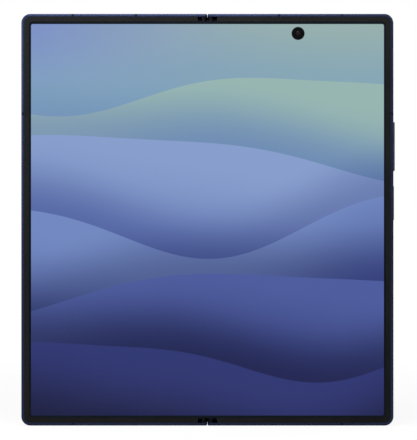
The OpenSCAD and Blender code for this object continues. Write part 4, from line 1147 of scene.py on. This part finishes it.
@dataclass
class RearCameras(Assembly):
    """The lenses behind the three lens covers."""

    finishes = (
        (BARREL, "wide_camera ultrawide_camera tele_camera"),
        (RING, "camera_rings"),
        (LENS_COVER, "camera_lens_covers"),
    )

    across: float = 58.2 * MM
    face: float = 1.5 * MM
    seat: float = 0.42
    wire: float = 0.05 * MM
    lens_gap: float = 0.12 * MM
    lens_edge: float = 0.16 * MM
    lens_chamfer: float = 0.3 * MM
    crown_gap: float = 0.1 * MM
    crown_steps: int = 10
    # Each set's rim colour is a painted sheen for its coating's coloured reflection; its tint tints the real
    # reflections.
    sets: tuple[LensSet, ...] = (
        LensSet(
            "ultrawide", 140.7 * MM, 4.4 * MM, 1.6 * MM, 1.2 * MM, 7,
            srgb(5, 6, 14), srgb(34, 26, 66), srgb(120, 96, 232),
        ),
        LensSet(
            "wide", 123.4 * MM, 4.6 * MM, 2.2 * MM, 1.5 * MM, 8,
            srgb(4, 8, 11), srgb(16, 44, 58), srgb(84, 190, 214),
        ),
        LensSet(
            "tele", 106.1 * MM, 4.3 * MM, 1.4 * MM, 1.8 * MM, 9,
            srgb(8, 5, 12), srgb(52, 26, 46), srgb(206, 104, 176),
        ),
    )

    def pieces(self) -> list[Piece]:
        """Fills each camera with its rings and lenses."""
        makers = (self.baffles, self.front_element, self.rear_element)
        return [make(lens) for lens in self.sets for make in makers]

    def seated(self, mesh: Mesh, lens: LensSet, finish: Finish) -> Piece:
        """Puts a mesh made about the lens's axis into its camera."""
        return mount(mesh, "right_half", finish, Facing.BACK, (self.across, self.face, lens.height))

    def baffles(self, lens: LensSet) -> Piece:
        """Makes the fine rings down the camera's cone."""
        sizes = {
            "Rings": lens.rings,
            "Outer": lens.mouth - 2 * self.wire,
            "Inner": lens.stop + 2 * self.wire,
            "Depth": lens.depth - 2 * self.wire,
            "Wire": self.wire,
        }
        mesh = grow(f"{lens.name}_baffles", stacked_rings(), sizes, BARREL)
        mesh.transform(Matrix.Translation((0.0, 0.0, -self.wire)))
        return self.seated(mesh, lens, BARREL)

    def front_element(self, lens: LensSet) -> Piece:
        """Makes the domed front lens, resting in the cone."""
        radius = lens.mouth + (lens.stop - lens.mouth) * self.seat - self.lens_gap
        floor = -lens.depth * self.seat
        crown = -floor - self.crown_gap
        under = floor - self.lens_edge
        turns = (math.pi / 2 * step / self.crown_steps for step in range(1, self.crown_steps))
        dome = [(radius * math.cos(turn), floor + crown * math.sin(turn)) for turn in turns]
        edge = [(0.0, under), (radius - self.lens_chamfer, under), (radius, floor)]
        mesh = lathe(f"{lens.name}_front_lens", [*edge, *dome, (0.0, floor + crown)])
        return self.seated(mesh, lens, lens.coat)

    def rear_element(self, lens: LensSet) -> Piece:
        """Makes the small lens at the stop."""
        radius, floor = lens.stop - 0.08 * MM, -lens.depth + 0.02 * MM
        steps = ((0.0, 0.0), (1.0, 0.0), (1.0, 0.08), (0.6, 0.2), (0.0, 0.26))
        outline = [(radius * share, floor + height * MM) for share, height in steps]
        return self.seated(lathe(f"{lens.name}_stop_lens", outline), lens, lens.coat)


@dataclass
class SmallOptics(Assembly):
    """The flash, the cover camera and the inner camera."""

    finishes = ((DIFFUSER, "flash_lens"), (BARREL, "cover_camera inner_camera"))

    flash_radius: float = 2.6 * MM
    cover: Place = (-36.9 * MM, 0.0, 150.4 * MM)
    cover_radius: float = 1.9 * MM
    window_lap: float = 0.1 * MM
    ring_width: float = 0.25 * MM
    ring_rise: float = 0.02 * MM
    inner: Place = (34.9 * MM, -3.45 * MM, 150.9 * MM)

    def pieces(self) -> list[Piece]:
        """Makes the rings and lenses."""
        return [self.flash_rings(), self.cover_ring(), self.cover_lens(), self.inner_lens()]

    def flash_rings(self) -> Piece:
        """Makes the stepped rings on the flash lens."""
        outer = self.flash_radius - 0.25 * MM
        sizes = {"Rings": 7, "Outer": outer, "Inner": 0.35 * MM, "Depth": 0.0, "Wire": 0.03 * MM}
        mesh = grow("flash_rings", stacked_rings(), sizes, DIFFUSER)
        return mount(mesh, "right_half", DIFFUSER, Facing.BACK, (FLASH_MIDDLE[0], 0.0, FLASH_MIDDLE[1]))

    def cover_ring(self) -> Piece:
        """Makes the printed ring round the cover camera."""
        rim, out = self.cover_radius - self.window_lap, self.cover_radius + self.ring_width
        rise = self.ring_rise
        mesh = lathe("cover_camera_ring", [(rim, 0.0), (out, 0.0), (out - rise, rise), (rim + rise, rise)])
        return mount(mesh, "left_half", BLACK, Facing.BACK, self.cover)

    def cover_lens(self) -> Piece:
        """Makes the window over the cover camera."""
        radius = self.cover_radius - self.window_lap
        steps = ((0.0, 0.0), (1.0, 0.0), (0.8, 0.012), (0.45, 0.022), (0.0, 0.028))
        mesh = lathe("cover_camera_window", [(radius * share, height * MM) for share, height in steps])
        return mount(mesh, "left_half", COVER_COAT, Facing.BACK, self.cover)

    def inner_lens(self) -> Piece:
        """Makes the lens in the inner camera's cone."""
        outline = ((0.0, 0.05), (0.68, 0.05), (1.02, 0.24), (0.8, 0.31), (0.45, 0.36), (0.0, 0.38))
        mesh = lathe("inner_camera_lens", [(radius * MM, height * MM) for radius, height in outline])
        return mount(mesh, "right_half", INNER_COAT, Facing.FRONT, self.inner)


@dataclass
class SoundAndPort(Assembly):
    """The woven cloth behind the speakers' holes and the contacts of the charging port."""

    cloth_x: float = 60.4 * MM
    cloth_y: float = -1.95 * MM
    cloth_width: float = 11.0 * MM
    cloth_depth: float = 1.9 * MM
    upper_z: float = 157.15 * MM
    pitch: float = 0.2 * MM
    wire: float = 0.045 * MM
    contacts: int = 12
    contact_pitch: float = 0.5 * MM
    contact: Place = (0.28 * MM, 2.9 * MM, 0.05 * MM)
    contact_height: float = 2.6 * MM
    contact_sunk: float = 0.4

    def pieces(self) -> list[Piece]:
        """Makes the cloths and the contacts."""
        _, lower_z = middle_of(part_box("speaker_mesh"))
        lower = self.cloth("lower_speaker_cloth", self.cloth_x, lower_z, "right_half")
        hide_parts("speaker_mesh")
        upper = self.cloth("upper_speaker_cloth", -self.cloth_x, self.upper_z, "left_half")
        return [lower, upper, self.port_contacts("front", 1.0), self.port_contacts("rear", -1.0)]

    def cloth(self, name: str, x: float, z: float, body: str) -> Piece:
        """Makes one piece of speaker cloth."""
        sizes = {"Width": self.cloth_width, "Height": self.cloth_depth, "Pitch": self.pitch, "Wire": self.wire}
        mesh = grow(name, woven_cloth(), sizes, DARK_STEEL_AND_SHADE)
        return mount(mesh, body, DARK_STEEL_AND_SHADE, Facing.UP, (x, self.cloth_y, z))

    def port_contacts(self, side: str, sign: float) -> Piece:
        """Makes the row of contacts on one face of the port's tongue."""
        low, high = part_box("usb_tongue")
        sizes = {"Bars": self.contacts, "Pitch": self.contact_pitch, "Bar": self.contact}
        mesh = grow(f"{side}_port_contacts", bar_row(), sizes, GOLD)
        face = (low.y if sign > 0 else high.y) + sign * self.contact_sunk * self.contact[2]
        return mount(mesh, "right_half", GOLD, Facing.FRONT, ((low.x + high.x) / 2, face, self.contact_height))


# ---------------------------------------------------------------- studio


@dataclass(frozen=True)
class Lamp:
    """A soft square lamp."""

    name: str
    place: Place
    watts: float
    size: float


@dataclass
class Studio:
    """The pale floor, the soft lamps, the white surround and the camera."""

    aim: Place = (0.0, 0.0, 0.08)
    lamps: tuple[Lamp, ...] = (
        Lamp("top_lamp", (-0.02, -0.17, 0.3), 1.1, 0.15),
        Lamp("key_lamp", (-0.6, -0.32, 0.34), 2.5, 0.3),
        Lamp("side_lamp", (-0.2, -0.16, 0.155), 0.32, 0.12),
        Lamp("fill_lamp", (0.7, -0.55, 0.45), 1.2, 0.5),
        Lamp("back_lamp", (0.6, 0.65, 0.45), 6.5, 0.5),
    )
    surround: float = 0.3
    floor_half: float = 6.0
    floor_level: float = -0.05 * MM
    floor_tone: float = 0.6
    floor_white: float = 0.9
    floor_near: float = 0.12
    floor_far: float = 0.5
    camera_place: Place = (0.423 * MM, -944.1 * MM, 79.1 * MM)
    lens: float = 200.0

    def build(self) -> None:
        """Sets up the scene round the phone."""
        self.floor()
        self.world()
        for lamp in self.lamps:
            self.lamp(lamp)
        self.camera()
        bpy.context.scene.view_settings.view_transform = "Standard"

    def floor(self) -> None:
        """Makes the floor, which looks white to the camera and keeps a soft shadow."""
        half, mesh = self.floor_half, bpy.data.meshes.new("studio_floor")
        ends = ((-half, -half), (half, -half), (half, half), (-half, half))
        mesh.from_pydata([(x, y, self.floor_level) for x, y in ends], [], [(0, 1, 2, 3)])
        material = bpy.data.materials.new("studio_paper")
        g = Graph.emptied(material)
        paper = g.out("ShaderNodeBsdfDiffuse", {"Color": (self.floor_tone,) * 3})
        white = g.out("ShaderNodeEmission", {"Color": WHITE, "Strength": 1.0})
        place = g.add("ShaderNodeTexCoord").outputs["Object"]
        away = g.add("ShaderNodeVectorMath", {0: place}, operation="LENGTH").outputs["Value"]
        seen = g.add("ShaderNodeLightPath").outputs["Is Camera Ray"]
        share = g.times(seen, g.between(away, self.floor_near, self.floor_far, self.floor_white, 1.0))
        both = g.out("ShaderNodeMixShader", {0: share, 1: paper, 2: white})
        g.add("ShaderNodeOutputMaterial", {"Surface": both})
        mesh.materials.append(material)
        floor = link("studio_floor", mesh)

    def world(self) -> None:
        """Makes a white surround that lights the phone softly."""
        world = bpy.data.worlds.new("studio_surround")
        g = Graph.emptied(world)
        path = g.add("ShaderNodeLightPath").outputs
        mirror = g.math("MAXIMUM", path["Is Glossy Ray"], path["Is Transmission Ray"])
        seen = g.math("MAXIMUM", path["Is Camera Ray"], mirror)
        strength = g.rise(seen, 1.0 - self.surround, self.surround)
        sky = g.out("ShaderNodeBackground", {"Color": WHITE, "Strength": strength})
        g.add("ShaderNodeOutputWorld", {"Surface": sky})
        bpy.context.scene.world = world

    def lamp(self, lamp: Lamp) -> None:
        """Hangs one lamp and turns it to the phone."""
        data = bpy.data.lights.new(lamp.name, "AREA")
        data.energy, data.size = lamp.watts, lamp.size
        hung = link(lamp.name, data)
        hung.location = lamp.place
        hung.rotation_euler = (Vector(self.aim) - Vector(lamp.place)).to_track_quat("-Z", "Y").to_euler()

    def camera(self) -> None:
        """Sets the camera square on to the open screen."""
        data = bpy.data.cameras.new("photo_camera")
        data.lens, data.sensor_width, data.sensor_fit = self.lens, 36.0, "AUTO"
        data.clip_start, data.clip_end = 0.01, 100.0
        camera = link("photo_camera", data)
        camera.location = self.camera_place
        camera.rotation_euler = (math.pi / 2, 0.0, 0.0)
        bpy.context.scene.camera = camera


def main() -> None:
    """Builds the phone and its studio, and logs each piece that the assemblies make."""
    logging.basicConfig(level=logging.INFO, format="%(name)s: %(message)s")
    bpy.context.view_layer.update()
    for assembly in (Shell(), Hinge(), Insides(), InnerDisplay(), RearCameras(), SmallOptics(), SoundAndPort()):
        for piece in assembly.build():
            LOG.info("%s made %s", type(assembly).__name__, piece.name)
    Studio().build()


if __name__ == "__main__":
    main()
